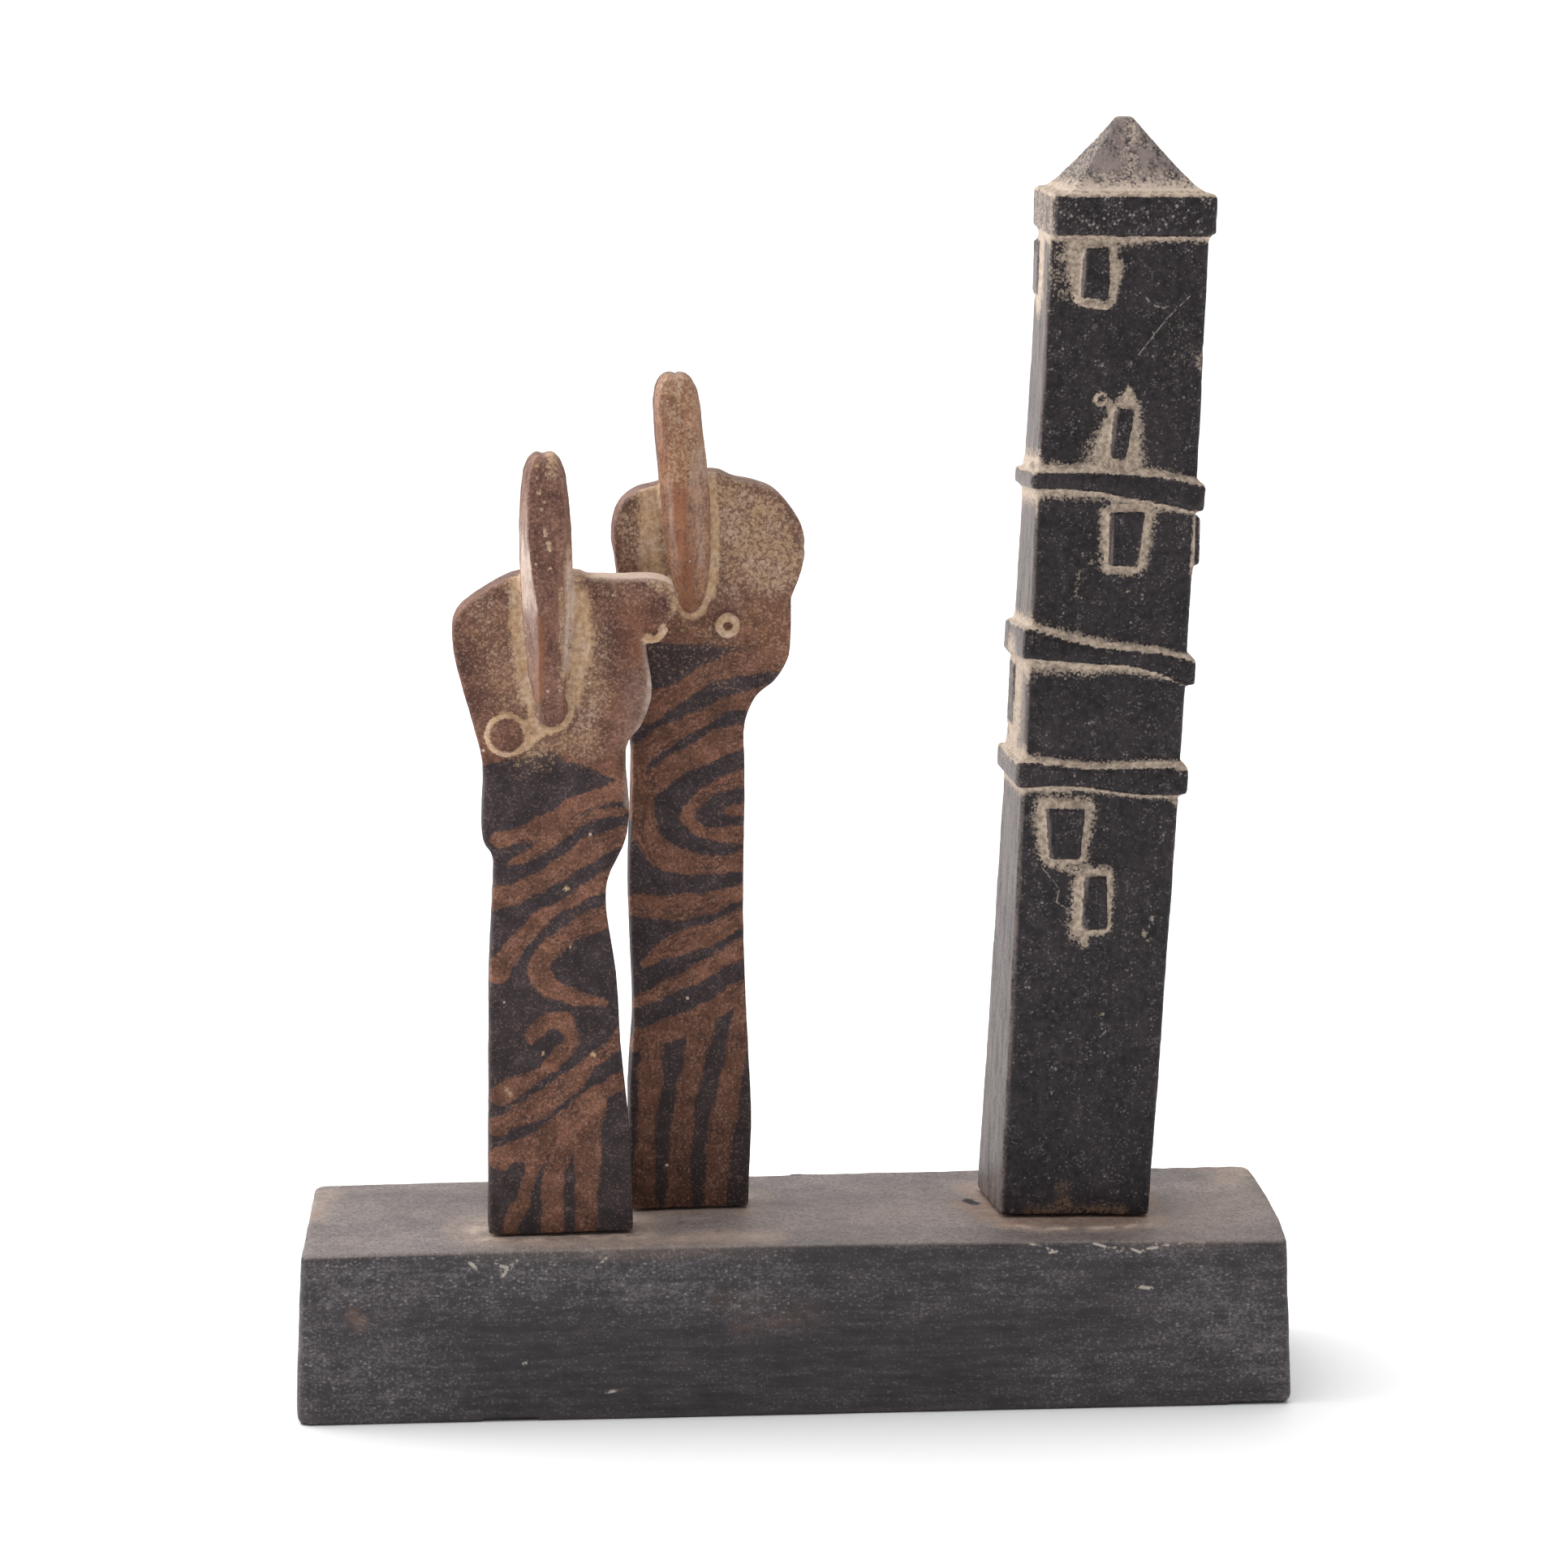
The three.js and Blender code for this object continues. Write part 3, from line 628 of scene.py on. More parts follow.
# Wrapped bands and the cap: the upper and lower edge at six places across the front from left to
# right and at the back's two corners, and how wide the slip lies above and below them
STATIONS = np.linspace(0, 1, 6)
BANDS = [
    {
        "upper": [112.7, 112.2, 111.3, 111.3, 111.6, 111.5], "upper_back": [112.7, 111.6],
        "lower": [106.9, 107.3, 107.0, 105.7, 104.9, 105.0], "lower_back": [107.0, 105.4],
        "above": [2.4, 1.6, 1.3, 1.4, 1.7, 1.4], "below": [1.6, 2.2, 1.6, 1.2, 1.3, 1.6],
    },
    {
        "upper": [145.2, 142.7, 141.0, 140.0, 139.4, 137.6], "upper_back": [143.5, 139.0],
        "lower": [138.2, 137.6, 136.8, 136.6, 134.8, 131.4], "lower_back": [135.8, 132.5],
        "above": [1.8, 2.2, 1.9, 1.5, 1.3, 1.0], "below": [3.4, 3.2, 2.8, 2.2, 1.6, 0.1],
    },
    {
        "upper": [182.4, 182.5, 182.3, 181.9, 181.2, 179.4], "upper_back": [180.7, 180.6],
        "lower": [178.8, 178.6, 178.0, 176.2, 175.0, 173.1], "lower_back": [176.6, 173.8],
        "above": [2.8, 2.0, 3.2, 2.4, 1.6, 1.2], "below": [2.6, 2.4, 2.2, 2.0, 1.8, 0.9],
    },
    {
        "upper": [CAP_TOP] * 6, "upper_back": [CAP_TOP] * 2,
        "lower": [CAP_BOTTOM] * 6, "lower_back": [CAP_BOTTOM] * 2,
        "above": [1.0] * 6, "below": [1.4, 2.2, 2.6, 2.0, 1.5, 1.7],
    },
]

# Window slabs as [across, up] corners from top left, and the slip's width at each corner
WINDOWS = [
    ([[65.1, 234.6], [70.1, 234.8], [70.5, 223.1], [64.4, 223.9]], [6.4, 3.3, 0.9, 2.4]),
    ([[73.3, 197.6], [77.3, 197.4], [75.4, 185.7], [72.3, 186.3]], [1.4, 2.1, 5.2, 6.0]),
    ([[72.8, 172.4], [80.3, 172.7], [79.2, 160.3], [73.0, 160.5]], [3.0, 3.6, 2.6, 2.5]),
    ([[59.3, 101.3], [68.0, 101.2], [67.2, 89.5], [60.4, 89.6]], [3.6, 3.2, 2.4, 3.0]),
    ([[69.1, 84.4], [73.7, 84.5], [74.2, 72.2], [68.5, 71.9]], [3.5, 2.4, 1.7, 3.3]),
]
SIDE_WINDOWS = [
    {"side": "left", "depth": [1.5, 8.5], "up": [223.0, 235.0], "widths": [5.0, 1.4, 1.4, 6.0]},
    {"side": "left", "depth": [2.0, 10.0], "up": [119.4, 134.0], "widths": [8.0, 1.4, 1.6, 8.0]},
    {"side": "right", "depth": [-8.8, -0.8], "up": [159.8, 171.4], "widths": [1.4, 1.4, 1.4, 3.0]},
]

# Slip brushed by hand on the tower's front: under the bands, round the windows, in stray dabs and
# in one small ring
SMALL_RING, SMALL_RING_RADIUS = (69.6, 199.6), 1.2
TOWER_STROKES = [
    ([[63.2, 222.9], [66, 221.9], [70.2, 221.5], [72.0, 222.6]], 0.6, 1.0, 1.0),
    ([[71.6, 224], [73.2, 231]], 0.9, 1.8, 0.95), ([[57.6, 233], [60, 226]], 1.5, 5.0, 0.42),
    ([[92.4, 209.6], [92.8, 207]], 0.4, 1.4, 0.6), ([[88, 216], [92, 208]], 1.5, 6.0, 0.14),
    ([[65.4, 158.6], [65.2, 153]], 0.2, 1.1, 0.42), ([[68.5, 161.2], [68.3, 160]], 0.2, 0.9, 0.5),
    (circle(SMALL_RING, SMALL_RING_RADIUS), 0.25, 0.8, 1.0),
    ([[71, 199], [72.5, 197]], 0.5, 1.6, 0.8),
    ([[76.3, 202], [76.0, 200]], 0.4, 1.5, 0.9), ([[75.8, 199.8], [75.4, 198.4]], 1.3, 3.0, 1.0),
    ([[68.8, 71.5], [69.2, 68.2]], 0.9, 1.9, 0.9), ([[83.6, 70.6], [83.9, 70.0]], 0.3, 0.8, 1.0),
    ([[84.5, 139.2], [90, 137.6]], 0.3, 1.6, 0.7), ([[92, 177.2], [93.6, 173.5]], 0.5, 1.5, 0.8),
    ([[80, 107.2], [85.5, 106.2], [89.3, 104.4], [90.2, 102.6]], 0.5, 1.4, 0.9),
    ([[62, 88], [66.5, 86], [69, 85.5]], 0.8, 2.2, 0.8),
    *specks((85.6, 74.2, 0.3, 0.8, 1.0), (84.9, 72.2, 0.2, 0.6, 1.0), (84.8, 69.0, 0.25, 0.6, 1.0),
            (77.4, 153.7, 0.2, 0.6, 1.0), (73.8, 50.4, 0.3, 0.7, 0.9)),
]


def shaft_side(side, up):
    """Where a side of the leaning shaft lies at a height"""
    share = ramp(up, 0, SHAFT_HEIGHT)
    place = SHAFT_FOOT[side] * (1 - share) + SHAFT_TOP[side] * share
    if side == "right":
        place = place + SHAFT_BULGE * np.sin(math.pi * share)
    return place


def band_heights(band, edge, across, depth):
    """The height of a band's edge at any place round the tower"""
    front = np.interp(across, STATIONS, band[edge])
    left, right = band[edge + "_back"]
    back = left + (right - left) * across
    return front + (back - front) * depth


def band_slip(up, across, depth, level, share):
    """Slip over and under the bands and on their ledges, its width changed by share"""
    field = np.zeros(len(up))
    for band in BANDS:
        upper = band_heights(band, "upper", across, depth)
        lower = band_heights(band, "lower", across, depth)
        above = np.interp(across, STATIONS, band["above"]) * share
        below = np.interp(across, STATIONS, band["below"]) * share
        over = np.where(up > upper - 0.2, ramp((up - upper) / above, 1.5, 0.5), 0)
        under = np.where(up < lower + 0.2, ramp((lower - up) / below, 1.55, 0.55), 0)
        ledge = 0.9 * (level & (np.abs(up - upper) < 0.7))
        field = np.max([field, over, under, ledge], axis=0)
    return field


def window_slip(face, corners, widths):
    """Slip round a window slab, its width given at each corner, and which points are the slab's"""
    gaps = []
    inside = np.ones(len(face), bool)
    for k in range(4):
        start, end = np.asarray(corners[k]), np.asarray(corners[(k + 1) % 4])
        line, offset = end - start, face - start
        share = np.clip(offset @ line / (line @ line), 0, 1)
        width = widths[k] + (widths[(k + 1) % 4] - widths[k]) * share
        gaps.append(segment_gap(face, start, end) / width)
        inside &= line[0] * offset[:, 1] - line[1] * offset[:, 0] < 0
    return np.where(inside, 0, ramp(np.min(gaps, axis=0), 1.4, 0.6)), inside


def roof_slip(face, up):
    """Slip that thins out up the roof from its foot, with a streak and a dab across"""
    above_cap = up - CAP_TOP
    foot = np.where(above_cap > -0.4, np.maximum(ramp(above_cap, 6.5, 0.6), 0.05), 0)
    streak = 0.5 * ramp(line_gap(face, [[75.5, CAP_TOP], [76.5, 262]]), 3.2, 0.8)
    dab = 0.3 * ramp(line_gap(face, [[70, 257.5], [75, 259], [81, 258]]), 2.4, 0.4)
    return np.maximum(foot, np.where(above_cap > 0, np.maximum(streak, dab), 0))


def tower_slip(points, normals):
    """The slip on the tower, and where its side windows stand bare of it"""
    x, y, z = points.T
    up = z - FOOT
    left, right, front, back = (shaft_side(side, up) for side in ("left", "right", "front", "back"))
    on_front = ramp(y, front + 2.5, front + 1.0)
    on_wall = ramp(y, front - 1.3, front - 0.8)
    on_side = {"left": ramp(-normals[:, 0], 0.3, 0.7), "right": ramp(normals[:, 0], 0.3, 0.7)}
    share = 1 - 0.35 * (1 - on_front) + on_side["left"]
    field = band_slip(up, ramp(x, left, right), ramp(y, front, back), normals[:, 2] > 0.45, share)

    face = np.stack([x, up], 1)
    for corners, widths in WINDOWS:
        halo, inside = window_slip(face, corners, widths)
        field = np.maximum(field, halo * on_front * on_wall)
        field[inside & (y < front - 0.7)] = 0
    field = np.maximum(field, brushed(face, TOWER_STROKES) * on_front * on_wall)

    bare = np.zeros(len(points))
    beyond = {"left": x < left - 0.5, "right": x > right + 1.0}
    for window in SIDE_WINDOWS:
        (near, far), (low, high) = window["depth"], window["up"]
        side = on_side[window["side"]]
        corners = [[near, high], [far, high], [far, low], [near, low]]
        halo, inside = window_slip(np.stack([y, up], 1), corners, window["widths"])
        slab = inside & beyond[window["side"]]
        field = np.maximum(field, halo * side)
        field[slab & (side > 0.5)] = 0.38
        bare[slab] = 1

    field = np.maximum(field, np.where(up > CAP_BOTTOM, 0.5 * on_side["left"], 0))
    return np.maximum(field, roof_slip(face, up)), bare


def tower_chips():
    """The chips in the right edge, the cap and the roof's peak"""
    return [
        lump((94.2, -10.5, FOOT + 211), (1.1, 1.6, 2.4)),
        lump((93.7, -10.6, FOOT + 205.6), (0.6, 1.2, 1.4)),
        lump((95.8, -12.2, FOOT + 241.5), (0.7, 1.2, 1.8)),
        lump((77.6, -1.5, FOOT + 264.9), (1.5, 1.3, 0.9)),
    ]


def tower_heaps():
    """Slip heaped on the bands' ledges, on two windows' edges and in one small ring"""
    heaps = []
    for band in BANDS[:3]:
        line = []
        for share, up in zip(STATIONS, band["upper"]):
            x = shaft_side("left", up) * (1 - share) + shaft_side("right", up) * share
            line.append((float(x), SHAFT_FRONT - 0.2, FOOT + up + 0.1))
        heaps.append(bead(line, 0.9))
    sill = [(63.6, -10.6, FOOT + 222.8), (66.5, -10.8, FOOT + 221.9), (71, -10.7, FOOT + 221.6)]
    heaps.append(bead([(54.6, -8.5, FOOT + 183.2), (54.8, -2, FOOT + 183.0)], 1.3))
    heaps.append(bead(sill, 0.7))
    heaps.append(bead([(59.9, -10.7, FOOT + 102.6), (68.0, -10.7, FOOT + 102.0)], 0.5))
    across, up = SMALL_RING
    heaps.append(ring((across, SHAFT_FRONT - 0.2, FOOT + up), SMALL_RING_RADIUS, 0.4))
    return heaps


def make_tower():
    piece = work_clay(
        "tower", "tower_clay_body",
        cutters=tower_chips(),
        additions=tower_heaps(),
        waves=[("wall swell", 26, 0.3), ("knife marks", 8, 0.22), ("torn grain", 2.0, 0.1)],
    )
    points, normals = read_points(piece), read_normals(piece)
    slip, bare = tower_slip(points, normals)
    up = points[:, 2] - FOOT
    face = np.stack([points[:, 0], up], 1)
    rust = brushed(face, [
        ([[57, 0.6], [64, 1.0], [66, 3.4], [67.5, 0.8], [80, 0.6]], 0.4, 2.4, 0.75),
        ([[65, 6.5], [66, 7.5]], 0.5, 2.0, 0.5),
    ])
    leftward = ramp(-normals[:, 0], 0.3, 0.7)
    on_roof = up > CAP_TOP + 0.5
    write_fields(
        piece,
        slip=slip,
        # On the roof this field makes the slip paler; on the walls it is a painted sheen that lightens the
        # sides facing left, kept off the side windows' slabs
        bloom=np.where(on_roof, 0.84 - 0.62 * leftward, 0.5 * leftward * (1 - bare)),
        cap=((up > CAP_BOTTOM) & (up < CAP_TOP)) * 1.0,
        rust=rust * ramp(points[:, 1], -8.5, -10.0),
        rim=rims(piece, points, normals),
    )
    finish_skin(piece, "tower", points, normals, slip)
    return piece


# Paint: shader values with Python's arithmetic


class Shade:
    """A value, colour or vector of a material, with arithmetic for its numbers"""

    def __init__(self, paint, socket):
        self.paint = paint
        self.socket = socket

    def math(self, operation, first, second=0.0):
        return self.paint.node("ShaderNodeMath", {"operation": operation}, {0: first, 1: second})

    def __add__(self, other):
        return self.math("ADD", self, other)

    def __sub__(self, other):
        return self.math("SUBTRACT", self, other)

    def __rsub__(self, other):
        return self.math("SUBTRACT", other, self)

    def __mul__(self, other):
        return self.math("MULTIPLY", self, other)

    def __truediv__(self, other):
        return self.math("DIVIDE", self, other)

    def __pow__(self, other):
        return self.math("POWER", self, other)

    __radd__ = __add__
    __rmul__ = __mul__

    def sine(self):
        return self.math("SINE", self)

    def also(self, out):
        """Another output of the same node"""
        return Shade(self.paint, self.socket.node.outputs[out])

    def most(self, other):
        return self.math("MAXIMUM", self, other)

    def least(self, other):
        return self.math("MINIMUM", self, other)

    def rise(self, low, high):
        """0 below low, 1 above high and smooth between; falls where high is the lower one"""
        sockets = {"Value": self, "From Min": low, "From Max": high}
        return self.paint.node("ShaderNodeMapRange", {"interpolation_type": "SMOOTHSTEP"}, sockets)


class Paint:
    """One procedural material, laid out node by node. Seeds are counted from its own."""

    def __init__(self, name, seed=0.0):
        self.seed = seed
        self.material = bpy.data.materials.new(name)
        self.material.use_nodes = True
        self.tree = self.material.node_tree
        self.tree.nodes.clear()
        self.place = self.node("ShaderNodeTexCoord", out="Object")

    def node(self, kind, settings=None, sockets=None, out=0):
        made = self.tree.nodes.new(kind)
        for key, value in (settings or {}).items():
            setattr(made, key, value)
        for key, value in (sockets or {}).items():
            if isinstance(value, Shade):
                self.tree.links.new(value.socket, made.inputs[key])
            else:
                made.inputs[key].default_value = value
        return Shade(self, made.outputs[out]) if made.outputs else None

    def spot(self):
        """Object coordinates in millimetres, as three numbers"""
        across = self.node("ShaderNodeSeparateXYZ", sockets={0: self.place})
        return [value / MM for value in (across, across.also("Y"), across.also("Z"))]

    def field(self, name):
        return self.node("ShaderNodeAttribute", {"attribute_name": name}, out="Fac")

    def scaled(self, size, stretch, seed):
        sockets = {"Vector": self.place, "Location": (self.seed + seed,) * 3}
        sockets["Scale"] = [s / (size * MM) for s in stretch]
        return self.node("ShaderNodeMapping", sockets=sockets)

    def noise(self, size, detail=2.0, rough=0.5, stretch=(1, 1, 1), seed=0):
        """Cloudy noise about 0.5 whose features are as big as size, in millimetres"""
        sockets = {"Vector": self.scaled(size, stretch, seed), "Scale": 1.0, "Detail": detail}
        sockets["Roughness"] = rough
        return self.node("ShaderNodeTexNoise", sockets=sockets)

    def cells(self, size, stretch, seed):
        """Cells of that size: how far from a cell's middle, and a number drawn for each cell"""
        sockets = {"Vector": self.scaled(size, stretch, seed), "Scale": 1.0}
        gap = self.node("ShaderNodeTexVoronoi", sockets=sockets)
        return gap, self.node("ShaderNodeSeparateColor", sockets={0: gap.also("Color")})

    def grog(self, size, radius, share, seed=0):
        """Scattered grains: one cell in so many holds a grain of that radius, in millimetres"""
        gap, drawn = self.cells(size, (1, 1, 1), seed)
        grain = (gap * size).rise(radius, radius * 0.55)
        return grain * drawn.rise(1 - share, 1 - share + 0.01)

    def sprinkled(self, share, size, seed=0, stretch=(1, 1, 1)):
        """Grains of that size, in millimetres, over so great a share of the clay. They stand apart
        where they are few and run together where they are many."""
        gap, drawn = self.cells(size, stretch, seed)
        grains = (share * 0.8 + 0.2 - drawn * 0.6 - gap * 0.6).rise(-0.1, 0.14)
        return grains * (share * 12).least(1.0)

    def blend(self, amount, under, over):
        """over laid on under by amount"""
        sockets = {0: amount, 6: under, 7: over}
        return self.node("ShaderNodeMix", {"data_type": "RGBA"}, sockets, out=2)

    def coats(self, clay, *coats):
        """Coats laid over a clay one after another, each an amount and a colour"""
        for amount, coat in coats:
            clay = self.blend(amount, clay, coat)
        return clay

    def finish(self, colour, roughness, relief, specular=0.4):
        """relief is a height in millimetres"""
        bump = self.node("ShaderNodeBump", sockets={"Height": relief, "Strength": 1.0, "Distance": MM})
        sockets = {"Base Color": colour, "Roughness": roughness, "Normal": bump}
        sockets["Specular IOR Level"] = specular
        surface = self.node("ShaderNodeBsdfPrincipled", sockets=sockets)
        self.node("ShaderNodeOutputMaterial", sockets={"Surface": surface})
        return self.material


def colour(red, green, blue):
    """A colour read on a screen, 0 to 255, as the shader's linear one"""
    channels = [c / 255 for c in (red, green, blue)]
    return (*[c / 12.92 if c < 0.04045 else ((c + 0.055) / 1.055) ** 2.4 for c in channels], 1.0)


# The palette; where there are two colours, the darker one and the lighter one it changes to
SLIP_TAN = (colour(176, 146, 122), colour(212, 186, 162))
SLIP_GOLD = (colour(170, 136, 104), colour(206, 174, 140))
TOWER_SLIP = (colour(140, 125, 112), colour(200, 181, 162))
BROWN_CLAY = (colour(101, 69, 55), colour(138, 95, 76))
HEAD_CLAY = (colour(88, 61, 54), colour(126, 88, 73))
BLACK_CLAY = (colour(51, 43, 45), colour(71, 61, 64))
PLUM = (colour(106, 74, 65), colour(146, 106, 89))
AMBER = (colour(142, 99, 77), colour(180, 133, 104))
SMOKED_CLAY = (colour(15, 12, 14), colour(54, 47, 51))
BLOCK_CLAY = (colour(38, 34, 36), colour(69, 63, 67))
BLOCK_TOP = (colour(100, 91, 88), colour(144, 131, 125))
RUST = colour(140, 88, 60)
PALE_CLAY = colour(218, 198, 186)
CHALK = colour(196, 184, 172)


def slip_cover(paint, seed):
    """Where the slip lies: solid in the creases, then fewer and fewer grains as it thins out"""
    patches = paint.noise(2.6, 3.0, 0.65, seed=seed + 7).rise(0.3, 0.7)
    thickness = paint.field("slip")
    share = thickness * (patches * 0.5 + 0.65) + thickness.rise(0.8, 1.0) * 0.4
    grains = paint.sprinkled(share, 0.55, seed).most(paint.sprinkled(share * 0.6, 0.95, seed + 3))
    return grains * (0.16 + 0.84 * thickness)


def slip_colour(paint, seed, tones):
    """Thin slip lets the clay through, so its tone changes within a grain or two"""
    return paint.blend(paint.noise(1.3, 4.0, 0.7, seed=seed).rise(0.36, 0.64), *tones)


def marbled_clay(name, seed, crest_tones, foot_shade):
    """Brown ribbons folded into black clay, under a brown head with slip in its creases. The
    crest's clay has colours of its own, and foot_shade is a painted shade that darkens the slab
    towards its foot."""
    paint = Paint(name, seed)
    height = paint.spot()[2] - FOOT
    crest, pale = paint.field("crest"), paint.field("pale")
    wander = paint.noise(6) - 0.5
    broad = paint.noise(17, 1.0, seed=3) - 0.5
    ragged = paint.noise(1.2, 3.0, 0.65, seed=5) - 0.5
    depth = paint.field("ribbon") + wander * 3.2 + broad * 2.0 + ragged * 1.5
    in_ribbon, on_head = depth.rise(-0.35, 0.35), depth.rise(4, 9)
    folds = (depth * 4.6 + wander * 11).sine().rise(0.1, 0.9)
    folds = folds * paint.noise(8, 1.0, seed=9).rise(0.44, 0.58)

    grain = paint.noise(0.8, 3.0, 0.65, seed=17)
    mottle = paint.noise(5.5, 3.0, 0.6, seed=19)
    streaks = paint.noise(1.5, 3.0, 0.65, stretch=(1.0, 1.0, 0.22), seed=35)
    dark_grains = paint.sprinkled(mottle * 0.7, 0.75, 43)
    light_grains = paint.sprinkled(mottle * 0.42 + on_head * 0.08, 0.5, 41)
    worn = paint.field("rim").rise(0.3, 1.1) * grain.rise(0.38, 0.6)
    streaked = (streaks.rise(0.3, 0.6) * 0.6 + grain * 0.5 + 0.1).least(1.0)
    film = paint.field("slip").rise(0.08, 1.0) * (1 - crest * 0.6)
    white = paint.grog(5.0, 0.5, 0.14, 31).most(paint.grog(2.6, 0.36, 0.34, 33) * crest)
    pits = paint.grog(3.9, 0.4, 0.18, 39)

    slip = slip_cover(paint, 23)
    tan, gold = slip_colour(paint, 30, SLIP_TAN), slip_colour(paint, 30, SLIP_GOLD)
    golden = paint.noise(6, seed=29).rise(0.34, 0.6)
    slip_tone = paint.coats(tan, (golden, gold), (pale.rise(0.3, 0.9) * 0.7, PALE_CLAY))

    brown = paint.coats(
        paint.blend(mottle.rise(0.35, 0.68), *BROWN_CLAY),
        (folds * 0.6, colour(60, 46, 44)),
        (on_head, paint.blend(mottle.rise(0.32, 0.66), *HEAD_CLAY)),
    )
    clay = paint.coats(
        paint.blend(mottle.rise(0.3, 0.7), *BLACK_CLAY),
        (in_ribbon, brown),
        (crest * 0.9, paint.blend(mottle.rise(0.3, 0.7), *crest_tones)),
        # Painted shade, darker towards the foot
        (height.rise(60, 4) * foot_shade, colour(40, 27, 21)),
        (grain.rise(0.55, 0.38) * 0.38, colour(34, 25, 24)),
        (dark_grains * 0.28, colour(42, 32, 32)),
        (crest * streaks.rise(0.5, 0.36) * 0.3, colour(66, 42, 36)),
        (light_grains * (0.19 + in_ribbon * 0.15), colour(174, 140, 124)),
        (paint.field("rust") * streaks.rise(0.3, 0.55) * 0.7, RUST),
        (worn * 0.2, PALE_CLAY),
        # pale is partly pale slip and partly painted highlights: the crest's left flank, the head's top
        # and the edge under the beak
        (pale * streaked, PALE_CLAY),
        (film * 0.64, colour(148, 120, 101)),
        (slip * 0.9, slip_tone),
        (white * 0.75, colour(212, 188, 172)),
        (pits * 0.6, colour(34, 26, 26)),
    )
    roughness = 0.62 + grain * 0.16 + slip * 0.1
    relief = grain * 0.16 + mottle * 0.22 + slip * 0.1 - pits * 0.1 + white * 0.08
    return paint.finish(clay, roughness, relief, specular=0.18)


# Fine scratches: across and up where one starts, where it ends, and its half width
TOWER_SCRATCHES = [
    (90.3, 224.1, 84.6, 218.4, 0.22), (84.6, 218.4, 78.2, 210.0, 0.2), (79.6, 223.4, 81.2, 221.6, 0.3),
    (81.2, 221.6, 83.8, 220.9, 0.34), (83.8, 220.9, 86.4, 221.6, 0.3), (58.6, 86.8, 62.8, 81.6, 0.25),
    (62.8, 81.6, 62.2, 78.4, 0.25), (62.2, 78.4, 64.8, 76.6, 0.3), (85.4, 74.6, 86.0, 72.2, 0.4),
    (83.4, 71.4, 84.2, 70.0, 0.35), (84.0, 69.2, 84.8, 68.4, 0.3), (73.6, 44.8, 75.4, 46.4, 0.25),
]
BASE_SCRATCHES = [
    (-73.6, 39.6, -69.4, 38.4, 0.6), (-71.2, 36.6, -68.0, 40.2, 0.6), (-79.0, 40.0, -77.2, 38.2, 0.6),
    (-49.6, 37.4, -46.8, 40.4, 0.5), (-46.5, 7.0, -44.0, 7.4, 0.5), (-66.2, 14.6, -65.8, 14.8, 0.6),
    (54.6, 42.0, 58.0, 41.4, 0.4), (57.4, 41.2, 60.2, 40.2, 0.5), (59.4, 39.6, 61.4, 40.0, 0.35),
    (70.3, 41.8, 73.0, 41.0, 0.45), (72.4, 40.4, 76.4, 40.8, 0.4), (75.6, 39.6, 78.8, 40.4, 0.5),
    (79.6, 40.2, 81.6, 39.4, 0.45), (82.2, 40.0, 86.0, 40.6, 0.5), (85.4, 41.4, 88.4, 41.0, 0.4),
    (90.6, 41.2, 92.6, 42.0, 0.4), (94.0, 41.8, 97.2, 41.4, 0.35), (81.0, 30.8, 84.6, 30.2, 0.6),
    (64.4, 12.8, 65.4, 13.0, 0.5),
]


def scratched(paint, scratches, foot, seed):
    """All the scratches of a piece's front, half rubbed away, their heights counted from foot"""
    x, y, z = paint.spot()
    marks = []
    for start_x, start_up, end_x, end_up, width in scratches:
        run, climb = end_x - start_x, end_up - start_up
        off_x, off_z = x - start_x, z - (foot + start_up)
        share = ((off_x * run + off_z * climb) / (run * run + climb * climb)).most(0.0).least(1.0)
        gap_x, gap_z = off_x - share * run, off_z - share * climb
        gap = (gap_x * gap_x + gap_z * gap_z) ** 0.5
        marks.append(gap.rise(width, width * 0.4))
    broken = paint.noise(1.1, seed=seed).rise(0.38, 0.6)
    return reduce(Shade.most, marks) * y.rise(-4, -8) * broken


